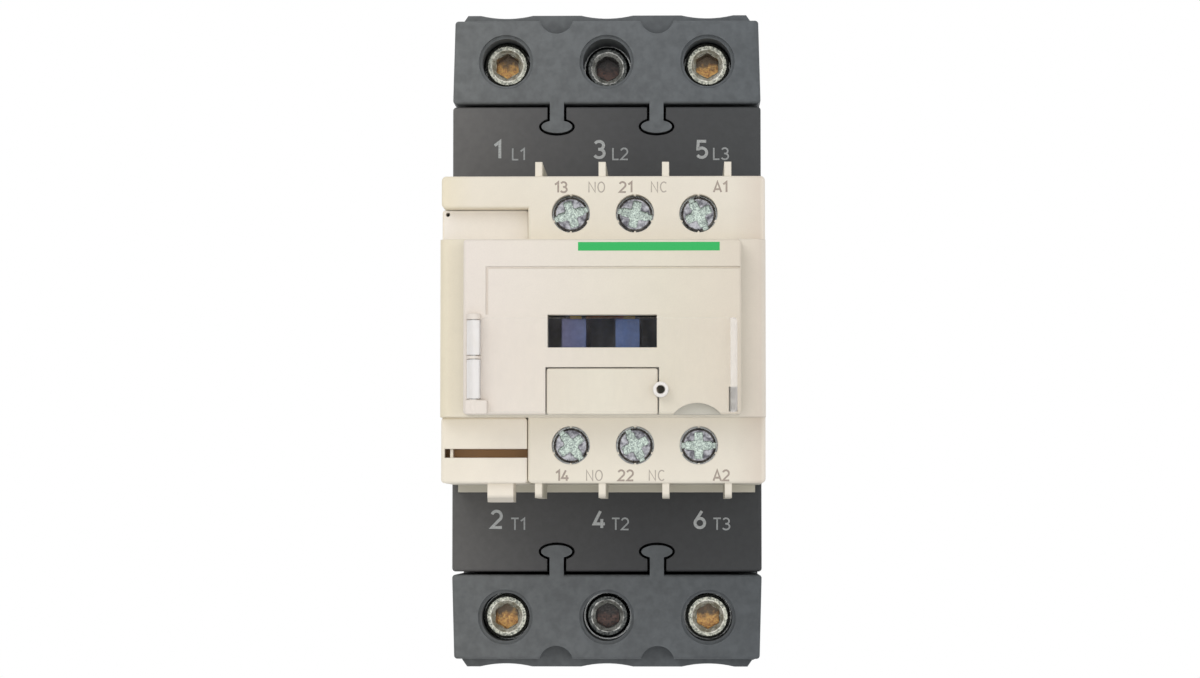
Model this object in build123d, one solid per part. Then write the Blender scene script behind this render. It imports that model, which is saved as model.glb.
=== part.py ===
"""Three-pole contactor for a 35 mm top-hat rail, with its coil, magnet, contacts and terminals.

X runs to the right as seen from the front, Z runs up and the front faces -Y. The origin is on the
rear mounting plane, at the centre line of the rail. Lengths are in millimetres.
"""
from build123d import *
import math
import os

# ---- driving sizes -------------------------------------------------------------------------
WIDTH = 55.0                # overall width
HALF_HEIGHT = 58.4          # rail centre line to the bottom, and to the top of the terminals
TOP_EAR = 63.6              # rail centre line to the top of the upper fixing ear
BASE_DEPTH = 43.0           # mounting plane to the joint between base and contact body
BODY_DEPTH = 37.0           # contact body, from that joint to its dark front face
CONTROL_DEPTH = 30.0        # dark front face to the faces of the control terminals
SHOULDER_RISE = 4.0         # middle band in front of the control terminal faces
HOOD_RISE = 4.0             # hood in front of the middle band
COVER_RISE = 2.0            # clear cover in front of the hood

# ---- fits ----------------------------------------------------------------------------------
GAP = 0.3                   # between pieces that are pushed together by hand
SLIDE_GAP = 0.4             # around pieces that slide
PIN_GAP = 0.05              # radial, screws in their threads and pins in their eyes
KEY_GAP = 0.45              # around the mushroom keys of the terminal blocks
BLOCK_GAP = 0.55            # between the contact body and the terminal blocks

# ---- walls ---------------------------------------------------------------------------------
WALL = 2.5                  # side walls of the mouldings
EDGE = 0.6                  # soft outer edges

# ---- rail ----------------------------------------------------------------------------------
RAIL_HEIGHT = 35.0
RAIL_FLANGE = 1.0
RAIL_POCKET = 7.8           # depth of the rail channel
HOOK_REACH = 2.2            # hook behind the rail's flange
HOOK_THICK = 3.2
CLIP_TRAVEL = 4.0
CLIP_WIDTH = 14.0
CLIP_BOTTOM = -57.5
FIXING_X = 20.0             # panel fixing slots
FIXING_Z = 52.5
FIXING_R = 2.25
FIXING_SLOT = 9.5
EAR_THICK = 5.0

# ---- magnet --------------------------------------------------------------------------------
STROKE = 6.0                # travel of the armature and contact carrier
CORE_HALF_X = 8.0           # half the stack of core sheets
CORE_HALF_Z = 28.0
CORE_LEG = 8.0              # outer legs
CORE_CENTRE = 7.0           # half of the centre leg
CORE_YOKE = 9.0
FIXED_LEG = 12.7
ARMATURE_LEG = 7.7
ARMATURE_YOKE = 8.0
CUSHION = 2.0
BOBBIN_WALL = 1.2
BOBBIN_FLANGE = 1.5
BOBBIN_HALF_X = 20.5
BOBBIN_HALF_Z = 18.8
BOBBIN_LENGTH = 18.8

# ---- power contacts ------------------------------------------------------------------------
POLE_PITCH = 18.0
POLES = (-POLE_PITCH, 0.0, POLE_PITCH)
CONTACT_TRAVEL = 4.0        # travel of a moving bridge before it meets the fixed contacts
CONTACT_REST = 0.1          # left between the closed contacts, so that they never overlap
STRIP = 2.0                 # fixed contact strips
STRIP_HALF_X = 4.0
TIP = 1.5                   # silver tips
TIP_R = 2.6
TIP_Z = 10.0
BRIDGE_HALF_Z = 13.0
BRIDGE_THICK = 1.5
BRIDGE_HALF_X = 3.9
SPRING_ROOM = 6.0           # contact spring between bridge and carrier bar
PARTITION = 2.8             # walls between the arc chambers
CHAMBER_HALF_X = (POLE_PITCH - PARTITION) / 2
BLOCK_Z = 42.0              # inner face of the terminal blocks
END_WALL = 6.0              # between the arc chambers and the terminal blocks
CHAMBER_Z = BLOCK_Z - END_WALL
CHAMBER_FLOOR = 2.0

# ---- power terminals -----------------------------------------------------------------------
BLOCK_DRAFT = 0.4           # the blocks narrow towards their outer end, each side
LIP_SET_BACK = 4.0
LIP_RISE = 1.5
LIP_HALF_X = 25.0
SCALLOP_R = 20.0            # shallow hollows in the lip, one over each pole
SCALLOP_DEPTH = 0.55
SCALLOP_LENGTH = 22.0
CAGE_Z = (BLOCK_Z + 2.0, HALF_HEIGHT - 3.7)
POWER_Z = (CAGE_Z[0] + CAGE_Z[1]) / 2 + 0.15          # screw row
POWER_SCREW_R = 3.95
POWER_SOCKET_AF = 4.0
POWER_SOCKET_DEPTH = 5.0
SCREW_SINK = 5.1            # outer screws below the block's face at rest
CENTRE_SINK = 4.0           # the centre screws stand this much deeper
POWER_BORE_R = POWER_SCREW_R + 0.35
POWER_RIM_R = POWER_BORE_R + 0.55
RIM_DEPTH = 0.8
WIRE_R = 4.7                # round power wire entries
WIRE_SPACE = 10.5           # open clamp
NOTCH_R = 3.05
CAGE_WALL = 1.5
CAGE_FRONT = 2.5
CAGE_HALF_X = 6.4
CAGE_REAR = 2.0
KEY_STEM = 2.5
KEY_CAP = (2.75, 1.15)      # half width and half height of a key's oval cap
KEY_CAP_Z = BLOCK_Z - 4.1
KEY_DEPTH = 8.0
KEY_X = 8.9

# ---- control terminals and front -----------------------------------------------------------
CONTROL_X = (-5.5, 5.4, 16.2)
CONTROL_HALF_Z = 26.1
CONTROL_Z = CONTROL_HALF_Z - 6.4
SKIRT_HALF_X = 26.3
SKIRT_HALF_Z = 27.4
SKIRT = 2.0
FIN_X = (-11.0, -0.2, 10.6, 21.2)
FIN_THICK = 1.2
FIN_Z = 28.6
MODULE_RIGHT = CONTROL_X[0] - 7.4                     # right edge of the two blanking modules
MODULE_BACK = 20.0          # depth of the blanking modules
MODULE_GAP = 0.12
RECESS_Z = 20.6             # top of the set-back field of the upper one
RECESS_DEPTH = 3.0
BLANK_SLOT = (-20.3, -21.8)
SLOT_BACK = 4.0             # depth of that slot
TAB_X = (-19.7, -15.3)      # release tab under the lower module
TAB_END = -29.3
PIN_HOLE_R = 0.35           # mould pin mark beside the set-back field
BAND_Z = 15.0
SHOULDER_R = 1.6            # rounded outer edges of the middle band
CONTROL_HEAD_R = 2.95
CONTROL_HOLE_R = CONTROL_HEAD_R + GAP
CONTROL_HEAD = 2.4
CONTROL_SINK = 1.7
CONTROL_TURNED = {1: (-18, 12, 63), -1: (53, 64, 0)}  # slots as left by the driver, in degrees
SLOT_HALF = 0.5
SLOT_DEPTH = 1.1
CROSS_HALF = 0.75           # half the width of a wing
CROSS_ARM = 2.3             # centre of the head to a wing's end
CROSS_DEPTH = 1.6
CROSS_EDGE = 0.3
CONTROL_SHANK_R = 1.75
CONTROL_SHANK = 10.4
WASHER = 1.2
WASHER_HALF = 3.4
CONTROL_STRIP = 1.5
CONTROL_WIRE_SPACE = 4.9
HOOD_HALF_X = 23.3
HOOD_Z = 14.7
WINDOW_HALF_X = 9.15
WINDOW_Z = (-3.5, 2.0)
HORNS = ((-7.0, -2.9), (2.1, 6.2))
HORN_Z = (WINDOW_Z[0] + GAP, WINDOW_Z[1] - GAP)
WINDOW_DEEP = 7.0           # hood face to the ends of the horns
LABEL_HALF_X = 9.3
LABEL_Z = (-HOOD_Z, -7.0)
LABEL_THICK = 1.5
HINGE_X = -21.5
HINGE_R = 1.15
HINGE_PIN_R = 0.5
COVER_THICK = 1.0
COVER_X = (-20.2, 22.6)
COVER_Z = (-14.4, 1.4)
BARRELS = ((-4.8, 1.0), (-12.1, -5.6))
LATCH_X = (21.5, 22.3)
LATCH_Z = (-13.9, -10.4)
CORNER_GAP = 0.5
CORNER_BLOCK = (-19.2, -12.35)                        # right edge and top of the hood's corner block
EYELET = (9.8, -10.6)
EYELET_R = 0.7
NOTCH_X = 15.9              # finger notch in the cover's lower edge
COVER_NOTCH_R = 5.1
NOTCH_DROP = 3.3            # its centre below the hood's lower edge
PANEL_X = (-19.5, 23.1)     # groove round the upper label field
PANEL_Z = (2.1, 10.1)
GROOVE = 0.35

# ---- planes along Y, from the wall to the front --------------------------------------------
half_width = WIDTH / 2
y_joint = -BASE_DEPTH
y_face = y_joint - BODY_DEPTH
y_term = y_face - CONTROL_DEPTH
y_band = y_term - SHOULDER_RISE
y_hood = y_band - HOOD_RISE
y_front = y_hood - COVER_RISE

y_seat = -RAIL_POCKET
y_inner = y_seat - 3.0                                # inside of the base's rear wall
y_core = y_inner - CUSHION
y_poles = y_core - CORE_YOKE - FIXED_LEG              # faces of the fixed core's legs
y_bobbin = y_core - CORE_YOKE - 0.4
y_bobbin_front = y_bobbin - BOBBIN_LENGTH
y_armature = y_poles - STROKE
y_yoke = y_armature - ARMATURE_LEG
y_plate = y_yoke - ARMATURE_YOKE                      # carrier's plate, on the armature
PLATE = 2.5
y_floor = y_plate - PLATE - 1.0
y_strip = y_floor - CHAMBER_FLOOR                     # fixed strips lie on the floor
y_strip_front = y_strip - STRIP
y_tip_front = y_strip_front - TIP
y_moving = y_tip_front - CONTACT_TRAVEL - CONTACT_REST
y_bridge = y_moving - TIP
y_bridge_front = y_bridge - BRIDGE_THICK
y_bar = y_bridge_front - SPRING_ROOM
y_bar_front = y_bar - 2.0

FLANGE = 2.7                                          # shelf behind the terminal blocks
y_shelf = y_joint - FLANGE
y_block = y_face - 0.3                                # terminal blocks stand a little proud
y_cage_back = y_shelf - 2.5
y_low_strip = y_cage_back - CAGE_REAR                 # strip lies on the cage's rear wall
y_wire_seat = y_low_strip - STRIP
y_clamp = y_wire_seat - WIRE_SPACE
CLAMP = 1.5
y_screw_tip = y_clamp - CLAMP
y_screw_top = y_block + SCREW_SINK
y_cage_front = y_screw_tip - 2.0 - CAGE_FRONT
JOG_Z = CHAMBER_Z + 1.0                               # where a power strip turns back

y_head_top = y_term + CONTROL_SINK
y_washer = y_head_top + CONTROL_HEAD                  # front of the square washer
y_control_strip = y_washer + WASHER + CONTROL_WIRE_SPACE
y_aux_strip = y_control_strip + 5.8                   # front of the auxiliary contact strips
y_horn = y_hood + WINDOW_DEEP
AUX_X = tuple((a + b) / 2 for a, b in HORNS)
CAVITY_Z = 12.3
WELL_Z = (BAND_Z + 0.8, CONTROL_HALF_Z - 1.7)
WELL_HALF_X = WASHER_HALF + 0.5
LEAD_X = POLE_PITCH / 2 + 0.2
LEAD_R = 0.6
LEAD_Z = 11.25
y_lead = y_face - 4.0


# ---- helpers -------------------------------------------------------------------------------
def block(x0, x1, y0, y1, z0, z1):
    """A box between two corners, given in any order."""
    size = (abs(x1 - x0), abs(y1 - y0), abs(z1 - z0))
    return Pos((x0 + x1) / 2, (y0 + y1) / 2, (z0 + z1) / 2) * Box(*size)


def rod_y(r, x, z, y0, y1):
    """A cylinder along Y."""
    return Pos(x, (y0 + y1) / 2, z) * Rot(90, 0, 0) * Cylinder(r, abs(y1 - y0))


def rod_z(r, x, y, z0, z1):
    """A cylinder along Z."""
    return Pos(x, y, (z0 + z1) / 2) * Cylinder(r, abs(z1 - z0))


def prism_y(points, y0, y1):
    """A polygon in X and Z, carried from y0 to y1."""
    face = Plane(origin=(0, max(y0, y1), 0), x_dir=(1, 0, 0), z_dir=(0, -1, 0)) * make_face(
        Polyline(*points, close=True)
    )
    return extrude(face, abs(y1 - y0))


def prism_x(points, x0, x1):
    """A polygon in Y and Z, carried from x0 to x1."""
    face = Plane(origin=(min(x0, x1), 0, 0), x_dir=(0, 1, 0), z_dir=(1, 0, 0)) * make_face(
        Polyline(*points, close=True)
    )
    return extrude(face, abs(x1 - x0))


def softened(shape, axis, radius=EDGE):
    """Round the edges that run along an axis, where the shape allows it."""
    return fillet(shape.edges().filter_by(axis), radius)


def soft_front(shape, radius=EDGE):
    """Round the edges of the foremost face."""
    return fillet(shape.faces().sort_by(Axis.Y)[0].edges(), radius)


def coil_spring(r, wire, turns, length):
    """A helix of round wire about Z, from 0 to length, with its wire inside both ends."""
    rise = length - 2 * wire
    path = Pos(0, 0, wire) * Helix(rise / turns, rise, r - wire / 2)
    section = Plane(origin=path @ 0, z_dir=path % 0) * Circle(wire / 2)
    return sweep(section, path)


def both_ends(maker):
    """The same shape for the upper and the lower end."""
    return [maker(1), maker(-1)]


def group(solids):
    """Separate solids in one node."""
    flat = []
    for item in solids:
        flat += item.solids()
    return Compound(children=flat)


# ---- rear base and rail clip ---------------------------------------------------------------
rail_top = RAIL_HEIGHT / 2 + 0.2
clip_x = CLIP_WIDTH / 2
WING = 2.5                  # clip's guide wings, each side
WING_Y = (-4.6, -6.6)
WING_Z = (-50.0, -24.0)
CLIP_REAR = -2.4
PEG_Z = (-44.0, -42.0)
CLIP_WINDOW_Z = (-48.5, -30.0)


def rear_base():
    """Open-fronted base with the rail channel, fixing ears and the clip's guide."""
    base = block(-half_width, half_width, y_joint, 0, -HALF_HEIGHT, HALF_HEIGHT)
    base = softened(base, Axis.Y, 1.2)
    base += block(-half_width + 2, half_width - 2, -EAR_THICK, 0, HALF_HEIGHT - 4, TOP_EAR)
    inner_x = half_width - WALL
    cavity = block(-inner_x, inner_x, y_joint, y_inner, -45, 45)
    base -= softened(cavity, Axis.Y, 1.5)
    for end in (1, -1):
        base -= block(-13, 13, y_joint, -4, end * 47.5, end * (HALF_HEIGHT - WALL))
        for x in (-FIXING_X, FIXING_X):
            head_room = block(x - 4.75, x + 4.75, -20, -EAR_THICK, end * 47, end * (TOP_EAR + 1))
            base -= head_room
            straight = (FIXING_SLOT - 2 * FIXING_R) / 2
            mid = end * FIXING_Z
            base -= block(x - FIXING_R, x + FIXING_R, -EAR_THICK - 1, 1, mid - straight, mid + straight)
            for z in (mid - straight, mid + straight):
                base -= rod_y(FIXING_R, x, z, -EAR_THICK - 1, 1)
    # rail channel with the fixed upper hook
    base -= block(-half_width - 1, half_width + 1, y_seat, 1, -rail_top - 1.5, rail_top - HOOK_REACH)
    flange_back = y_seat + RAIL_FLANGE + 0.5
    base -= block(-half_width - 1, half_width + 1, y_seat, flange_back, 0, rail_top)
    hook_root = flange_back + HOOK_THICK
    base -= prism_x(
        [(hook_root, rail_top - HOOK_REACH - 1), (1, rail_top + 4), (1, rail_top - HOOK_REACH - 1)],
        -half_width - 1, half_width + 1,
    )
    # guide of the clip, open to the rear and the bottom, with its two wing grooves
    base -= block(-clip_x - GAP, clip_x + GAP, y_seat, 1, -HALF_HEIGHT - 1, -rail_top)
    wing_x = clip_x + WING + GAP
    groove_end = WING_Z[0] - CLIP_TRAVEL - 1
    base -= block(-wing_x, wing_x, WING_Y[0] + GAP, WING_Y[1] - GAP, groove_end, -rail_top)
    base += block(-2.0, 2.0, y_seat, -4.0, PEG_Z[0], PEG_Z[1])
    # notches for the tongues of the contact body
    for side in (1, -1):
        for z in (-24, 24):
            base -= block(side * (half_width - 1.7), side * (half_width + 1), y_joint - 1,
                          y_joint + 7.4, z - 4.2, z + 4.2)
        for z in (-36, -12, 0, 12, 36):
            base -= block(side * (half_width - 0.5), side * (half_width + 1), -34, -12, z - 0.7, z + 0.7)
    return base


def din_clip():
    """Sprung slider that hooks behind the rail's lower flange, pulled down by its tab."""
    flange_back = y_seat + RAIL_FLANGE + 0.5
    clip = block(-clip_x, clip_x, y_seat + GAP, CLIP_REAR, CLIP_BOTTOM, -rail_top - GAP)
    nose = [
        (flange_back, -rail_top - GAP), (flange_back, -rail_top + HOOK_REACH),
        (flange_back + 1.2, -rail_top + HOOK_REACH), (CLIP_REAR, -rail_top - GAP),
    ]
    clip += prism_x(nose, -clip_x, clip_x)
    clip += block(-clip_x - WING, clip_x + WING, WING_Y[0], WING_Y[1], WING_Z[0], WING_Z[1])
    clip -= block(-2.6, 2.6, y_seat, 0, CLIP_WINDOW_Z[0], CLIP_WINDOW_Z[1])
    clip -= block(-3, 3, y_seat, 0, CLIP_BOTTOM + 1.8, CLIP_BOTTOM + 3.6)
    return clip


def din_clip_spring():
    """Coil spring in the clip's window, between the base's peg and the window's top edge."""
    length = CLIP_WINDOW_Z[1] - PEG_Z[1] - 0.4
    spring = coil_spring(2.0, 0.5, 6, length)
    return Pos(0, (y_seat + GAP + CLIP_REAR) / 2, PEG_Z[1] + 0.2) * spring


# ---- magnet and coil -----------------------------------------------------------------------
def core_cushion():
    """Rubber pad between the fixed core and the base."""
    pad = block(-CORE_HALF_X, CORE_HALF_X, y_core, y_inner, -CORE_HALF_Z + 2, CORE_HALF_Z - 2)
    return softened(pad, Axis.Y, 1.0)


def e_core(y_back, y_leg, y_face_legs):
    """E shape: yoke from y_back to y_leg, three legs on to y_face_legs."""
    core = block(-CORE_HALF_X, CORE_HALF_X, y_back, y_leg, -CORE_HALF_Z, CORE_HALF_Z)
    core += block(-CORE_HALF_X, CORE_HALF_X, y_leg, y_face_legs, -CORE_CENTRE, CORE_CENTRE)
    for end in (1, -1):
        core += block(-CORE_HALF_X, CORE_HALF_X, y_leg, y_face_legs,
                      end * CORE_HALF_Z, end * (CORE_HALF_Z - CORE_LEG))
    return core


RING_SLOT_Z = CORE_HALF_Z - 3.0
RING = 1.2


def fixed_core():
    """Laminated core with a slot across each outer pole face for its shading ring."""
    core = e_core(y_core, y_core - CORE_YOKE, y_poles)
    for end in (1, -1):
        core -= block(-CORE_HALF_X - 1, CORE_HALF_X + 1, y_poles - 1, y_poles + 1.7,
                      end * (RING_SLOT_Z - RING / 2 - 0.1), end * (RING_SLOT_Z + RING / 2 + 0.1))
    return core


def shading_ring(end):
    """Copper frame round the outer half of one pole face."""
    y0 = y_poles + 0.4
    y1 = y0 + RING
    z_in = RING_SLOT_Z - RING / 2
    z_out = CORE_HALF_Z + 0.1 + RING
    side = CORE_HALF_X + 0.1
    ring = block(-side - RING, side + RING, y0, y1, end * z_in, end * z_out)
    ring -= block(-side, side, y0, y1, end * (z_in + RING), end * (z_out - RING))
    return ring


def coil_bobbin():
    """Nylon bobbin round the centre leg, with a flange at each end."""
    bore_x = CORE_HALF_X + 0.6
    bore_z = CORE_CENTRE + 0.6
    tube_x = bore_x + BOBBIN_WALL
    tube_z = bore_z + BOBBIN_WALL
    bobbin = block(-tube_x, tube_x, y_bobbin, y_bobbin_front, -tube_z, tube_z)
    rear_pair = (y_bobbin, y_bobbin - BOBBIN_FLANGE)
    front_pair = (y_bobbin_front + BOBBIN_FLANGE, y_bobbin_front)
    for y0, y1 in (rear_pair, front_pair):
        flange = block(-BOBBIN_HALF_X, BOBBIN_HALF_X, y0, y1, -BOBBIN_HALF_Z, BOBBIN_HALF_Z)
        bobbin += softened(flange, Axis.Y, 2.0)
    bobbin -= block(-bore_x, bore_x, y_bobbin + 1, y_bobbin_front - 1, -bore_z, bore_z)
    for end in (1, -1):
        bobbin -= rod_y(LEAD_R + PIN_GAP, LEAD_X + 1.5, end * LEAD_Z, y_bobbin_front - 1,
                        y_bobbin_front + BOBBIN_FLANGE + 0.01)
    return bobbin


def coil_winding():
    """Enamelled wire, wound full between the flanges."""
    y0 = y_bobbin - BOBBIN_FLANGE - 0.05
    y1 = y_bobbin_front + BOBBIN_FLANGE + 0.05
    wound = softened(block(-BOBBIN_HALF_X + 1, BOBBIN_HALF_X - 1, y0, y1,
                           -BOBBIN_HALF_Z + 1.2, BOBBIN_HALF_Z - 1.2), Axis.Y, 4.0)
    tube_x = CORE_HALF_X + 0.6 + BOBBIN_WALL + 0.05
    tube_z = CORE_CENTRE + 0.6 + BOBBIN_WALL + 0.05
    return wound - block(-tube_x, tube_x, y0 + 1, y1 - 1, -tube_z, tube_z)


def armature():
    """Moving E core; its centre leg runs inside the bobbin."""
    core = e_core(y_plate, y_yoke, y_armature)
    core -= rod_y(1.5 + PIN_GAP, 0, 16, y_plate - 1, y_yoke + 1)
    core -= rod_y(1.5 + PIN_GAP, 0, -16, y_plate - 1, y_yoke + 1)
    return core


def armature_keys():
    """Two rivets that hold the armature to the carrier's plate."""
    rivets = []
    for z in (16, -16):
        rivet = rod_y(1.5, 0, z, y_plate - PLATE, y_yoke)
        rivet += rod_y(2.8, 0, z, y_yoke, y_yoke + 1.0)
        rivets.append(rivet)
    return group(rivets)


# ---- contact carrier and moving contacts ---------------------------------------------------
POST = 1.6
POST_IN = BRIDGE_HALF_X + 0.6
POST_Z = 3.4
HORN_WALL = 0.75
AUX_TIP = 0.8
AUX_TIP_R = 0.9
AUX_TIP_Z = 7.2
NO_TRAVEL = 4.4             # travel of the closing bridge before its tips meet
NO_BRIDGE_Y = y_aux_strip - AUX_TIP - NO_TRAVEL - CONTACT_REST
NC_BRIDGE_Y = y_aux_strip + CONTROL_STRIP + AUX_TIP + CONTACT_REST
AUX_BRIDGE = 0.6
AUX_SPRING = 3.8
NC_OVERTRAVEL = 1.5


def contact_carrier():
    """Plate on the armature, a cage for each bridge, and two horns that reach the window."""
    carrier = block(-24, 24, y_plate, y_plate - PLATE, -5.5, 5.5)
    carrier += block(-4, 4, y_plate, y_plate - PLATE, -19, 19)
    for x in POLES:
        for side in (1, -1):
            carrier += block(x + side * POST_IN, x + side * (POST_IN + POST), y_plate - PLATE,
                             y_bar_front, -POST_Z, POST_Z)
        carrier += block(x - POST_IN - POST, x + POST_IN + POST, y_bar, y_bar_front, -POST_Z, POST_Z)
    carrier += block(POLES[0], POLES[2], y_bar_front + 0.01, y_bar_front - 2.0, -POST_Z, POST_Z)
    for low, high in HORNS:
        carrier += block(low, high, y_bar_front - 1, y_horn, HORN_Z[0], HORN_Z[1])
    for index, (low, high) in enumerate(HORNS):
        if index == 0:
            front = NO_BRIDGE_Y - AUX_TIP - AUX_BRIDGE - AUX_SPRING
            back = y_aux_strip + CONTROL_STRIP + 0.6
        else:
            front = NC_BRIDGE_Y + AUX_TIP - NC_OVERTRAVEL
            back = NC_BRIDGE_Y + AUX_TIP + AUX_BRIDGE + AUX_SPRING
        carrier -= block(low + HORN_WALL, high - HORN_WALL, front, back, -10, 10)
    for z in (16, -16):
        carrier -= rod_y(1.5 + PIN_GAP, 0, z, y_plate + 1, y_plate - PLATE - 1)
    return carrier


def pole_bridge(x):
    """Copper bridge with a silver tip under each end."""
    bar = block(x - BRIDGE_HALF_X, x + BRIDGE_HALF_X, y_bridge, y_bridge_front,
                -BRIDGE_HALF_Z, BRIDGE_HALF_Z)
    bar = softened(bar, Axis.Y, 1.0)
    bar += rod_y(1.2, x, 0, y_bridge_front + 0.01, y_bridge_front - 1.0)
    tips = [rod_y(TIP_R, x, end * TIP_Z, y_bridge, y_moving) for end in (1, -1)]
    return group([bar] + tips)


def contact_springs():
    """One spring for each power bridge, between it and the carrier's bar."""
    springs = []
    for x in POLES:
        spring = coil_spring(2.8, 0.6, 4, SPRING_ROOM - 0.2)
        springs.append(Pos(x, y_bridge_front - 0.1, 0) * Rot(90, 0, 0) * spring)
    return group(springs)


def return_springs():
    """Two springs from the bobbin's flange to the carrier's plate."""
    springs = []
    length = y_bobbin_front - y_plate - 0.2
    for x in (-15.0, 15.0):
        spring = coil_spring(3.2, 0.8, 6, length)
        springs.append(Pos(x, y_bobbin_front - 0.1, 0) * Rot(90, 0, 0) * spring)
    return group(springs)


def aux_bridge(index):
    """Auxiliary bridge: index 0 closes and index 1 opens when the carrier goes back."""
    x = AUX_X[index]
    if index == 0:
        y_bar_low, y_bar_high = NO_BRIDGE_Y - AUX_TIP, NO_BRIDGE_Y - AUX_TIP - AUX_BRIDGE
        tip_y = (NO_BRIDGE_Y, y_bar_low)
    else:
        y_bar_low, y_bar_high = NC_BRIDGE_Y + AUX_TIP, NC_BRIDGE_Y + AUX_TIP + AUX_BRIDGE
        tip_y = (NC_BRIDGE_Y, y_bar_low)
    bar = block(x - 1.0, x + 1.0, y_bar_low, y_bar_high, -8.5, 8.5)
    tips = [rod_y(AUX_TIP_R, x, end * AUX_TIP_Z, tip_y[0], tip_y[1]) for end in (1, -1)]
    return group([bar] + tips)


def aux_springs():
    """One small spring for each auxiliary bridge, inside its horn."""
    length = AUX_SPRING - 0.2
    first = Pos(AUX_X[0], NO_BRIDGE_Y - AUX_TIP - AUX_BRIDGE - 0.1, 0) * Rot(90, 0, 0)
    second = Pos(AUX_X[1], NC_BRIDGE_Y + AUX_TIP + AUX_BRIDGE + length + 0.1, 0) * Rot(90, 0, 0)
    return group([place * coil_spring(1.1, 0.3, 5, length) for place in (first, second)])


# ---- contact body --------------------------------------------------------------------------
def strip_cut(x, end, gap):
    """Room for one power strip: along the floor, back through the wall and out to the clamp."""
    half_x = STRIP_HALF_X + gap
    back = block(x - half_x, x + half_x, y_strip_front - gap, y_low_strip + gap,
                 end * (JOG_Z - 1.0), end * (JOG_Z + STRIP + gap))
    out = block(x - half_x, x + half_x, y_wire_seat - gap, y_low_strip + gap,
                end * JOG_Z, end * (BLOCK_Z + 2))
    return back + out


def oval_y(x, z, half_x, half_z, y0, y1):
    """An oval bar along Y."""
    face = Plane(origin=(x, max(y0, y1), z), x_dir=(1, 0, 0), z_dir=(0, -1, 0)) * Ellipse(half_x, half_z)
    return extrude(face, abs(y1 - y0))


def mushroom_keys(end, grow, y0, y1):
    """Two mushroom keys, a stem with an oval cap each, grown by a gap."""
    keys = []
    for x in (-KEY_X, KEY_X):
        stem = block(x - KEY_STEM / 2 - grow, x + KEY_STEM / 2 + grow, y0, y1,
                     end * KEY_CAP_Z, end * (BLOCK_Z + 0.5))
        keys.append(stem + oval_y(x, end * KEY_CAP_Z, KEY_CAP[0] + grow, KEY_CAP[1] + grow, y0, y1))
    return keys


def main_body():
    """Contact body: three arc chambers in front, the armature's room behind, a shelf at each end."""
    middle = BLOCK_Z - BLOCK_GAP
    body = block(-half_width, half_width, y_joint, y_face, -middle, middle)
    body = soft_front(softened(body, Axis.Y, 0.6), 0.5)
    shelf = block(-half_width, half_width, y_joint, y_shelf, -HALF_HEIGHT, HALF_HEIGHT)
    body += softened(shelf, Axis.Y, 1.2)
    inner_x = half_width - WALL
    body -= block(-inner_x, inner_x, y_joint + 1, y_floor, -CHAMBER_Z + 1, CHAMBER_Z - 1)
    for x in POLES:
        chamber = block(x - CHAMBER_HALF_X, x + CHAMBER_HALF_X, y_strip, y_face + 3, -CHAMBER_Z, CHAMBER_Z)
        mouth = block(x - CHAMBER_HALF_X, x + CHAMBER_HALF_X, y_strip, y_face - 1, -22, 22)
        body = body - chamber - mouth
        for side in (1, -1):
            low = x + side * (POST_IN - SLIDE_GAP)
            high = x + side * (POST_IN + POST + SLIDE_GAP)
            body -= block(low, high, y_floor + 1, y_strip - 1, -POST_Z - SLIDE_GAP, POST_Z + SLIDE_GAP)
        for end in (1, -1):
            body -= strip_cut(x, end, GAP)
    # the carrier's cross bar runs through the partitions
    body -= block(-20, 20, y_bar_front + 2.0 + STROKE + 1, y_face - 1, -POST_Z - 0.8, POST_Z + 0.8)
    for end in (1, -1):
        body -= rod_y(LEAD_R + 0.2, LEAD_X, end * LEAD_Z, y_floor + 1, y_face - 1)
        for key in mushroom_keys(end, KEY_GAP, y_face - 1, y_face + KEY_DEPTH + 0.3):
            body -= key
    # tongues that snap into the base, cooling grooves and the bare plate recess on the side
    for side in (1, -1):
        for z in (-24, 24):
            body += block(side * (half_width - 1.5), side * half_width, y_joint - 0.5,
                          y_joint + 7.0, z - 4, z + 4)
        for z in (-34, -30, -26, 26, 30, 34):
            body -= block(side * (half_width - 0.7), side * (half_width + 1), y_face + 8,
                          y_joint - 8, z - 0.8, z + 0.8)
    body -= block(half_width - 0.3, half_width + 1, y_face + 6, y_joint - 9, -14, 14)
    return body


def power_strip(x, end):
    """Fixed contact: along the chamber floor, back, and out over the clamp's rear wall."""
    low, high = x - STRIP_HALF_X, x + STRIP_HALF_X
    strip = block(low, high, y_strip, y_strip_front, end * 7.0, end * (JOG_Z + STRIP))
    strip += block(low, high, y_strip_front, y_low_strip, end * JOG_Z, end * (JOG_Z + STRIP))
    strip += block(low, high, y_wire_seat, y_low_strip, end * JOG_Z, end * CAGE_Z[1])
    return strip


def fixed_contacts():
    """Six power strips."""
    return group([power_strip(x, end) for x in POLES for end in (1, -1)])


def fixed_tips():
    """Silver tips on the power strips and on the auxiliary strips."""
    tips = [rod_y(TIP_R, x, end * TIP_Z, y_strip_front, y_tip_front) for x in POLES for end in (1, -1)]
    for end in (1, -1):
        z = end * AUX_TIP_Z
        tips.append(rod_y(AUX_TIP_R, AUX_X[0], z, y_aux_strip, y_aux_strip - AUX_TIP))
        behind = y_aux_strip + CONTROL_STRIP
        tips.append(rod_y(AUX_TIP_R, AUX_X[1], z, behind, behind + AUX_TIP))
    return group(tips)


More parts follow.
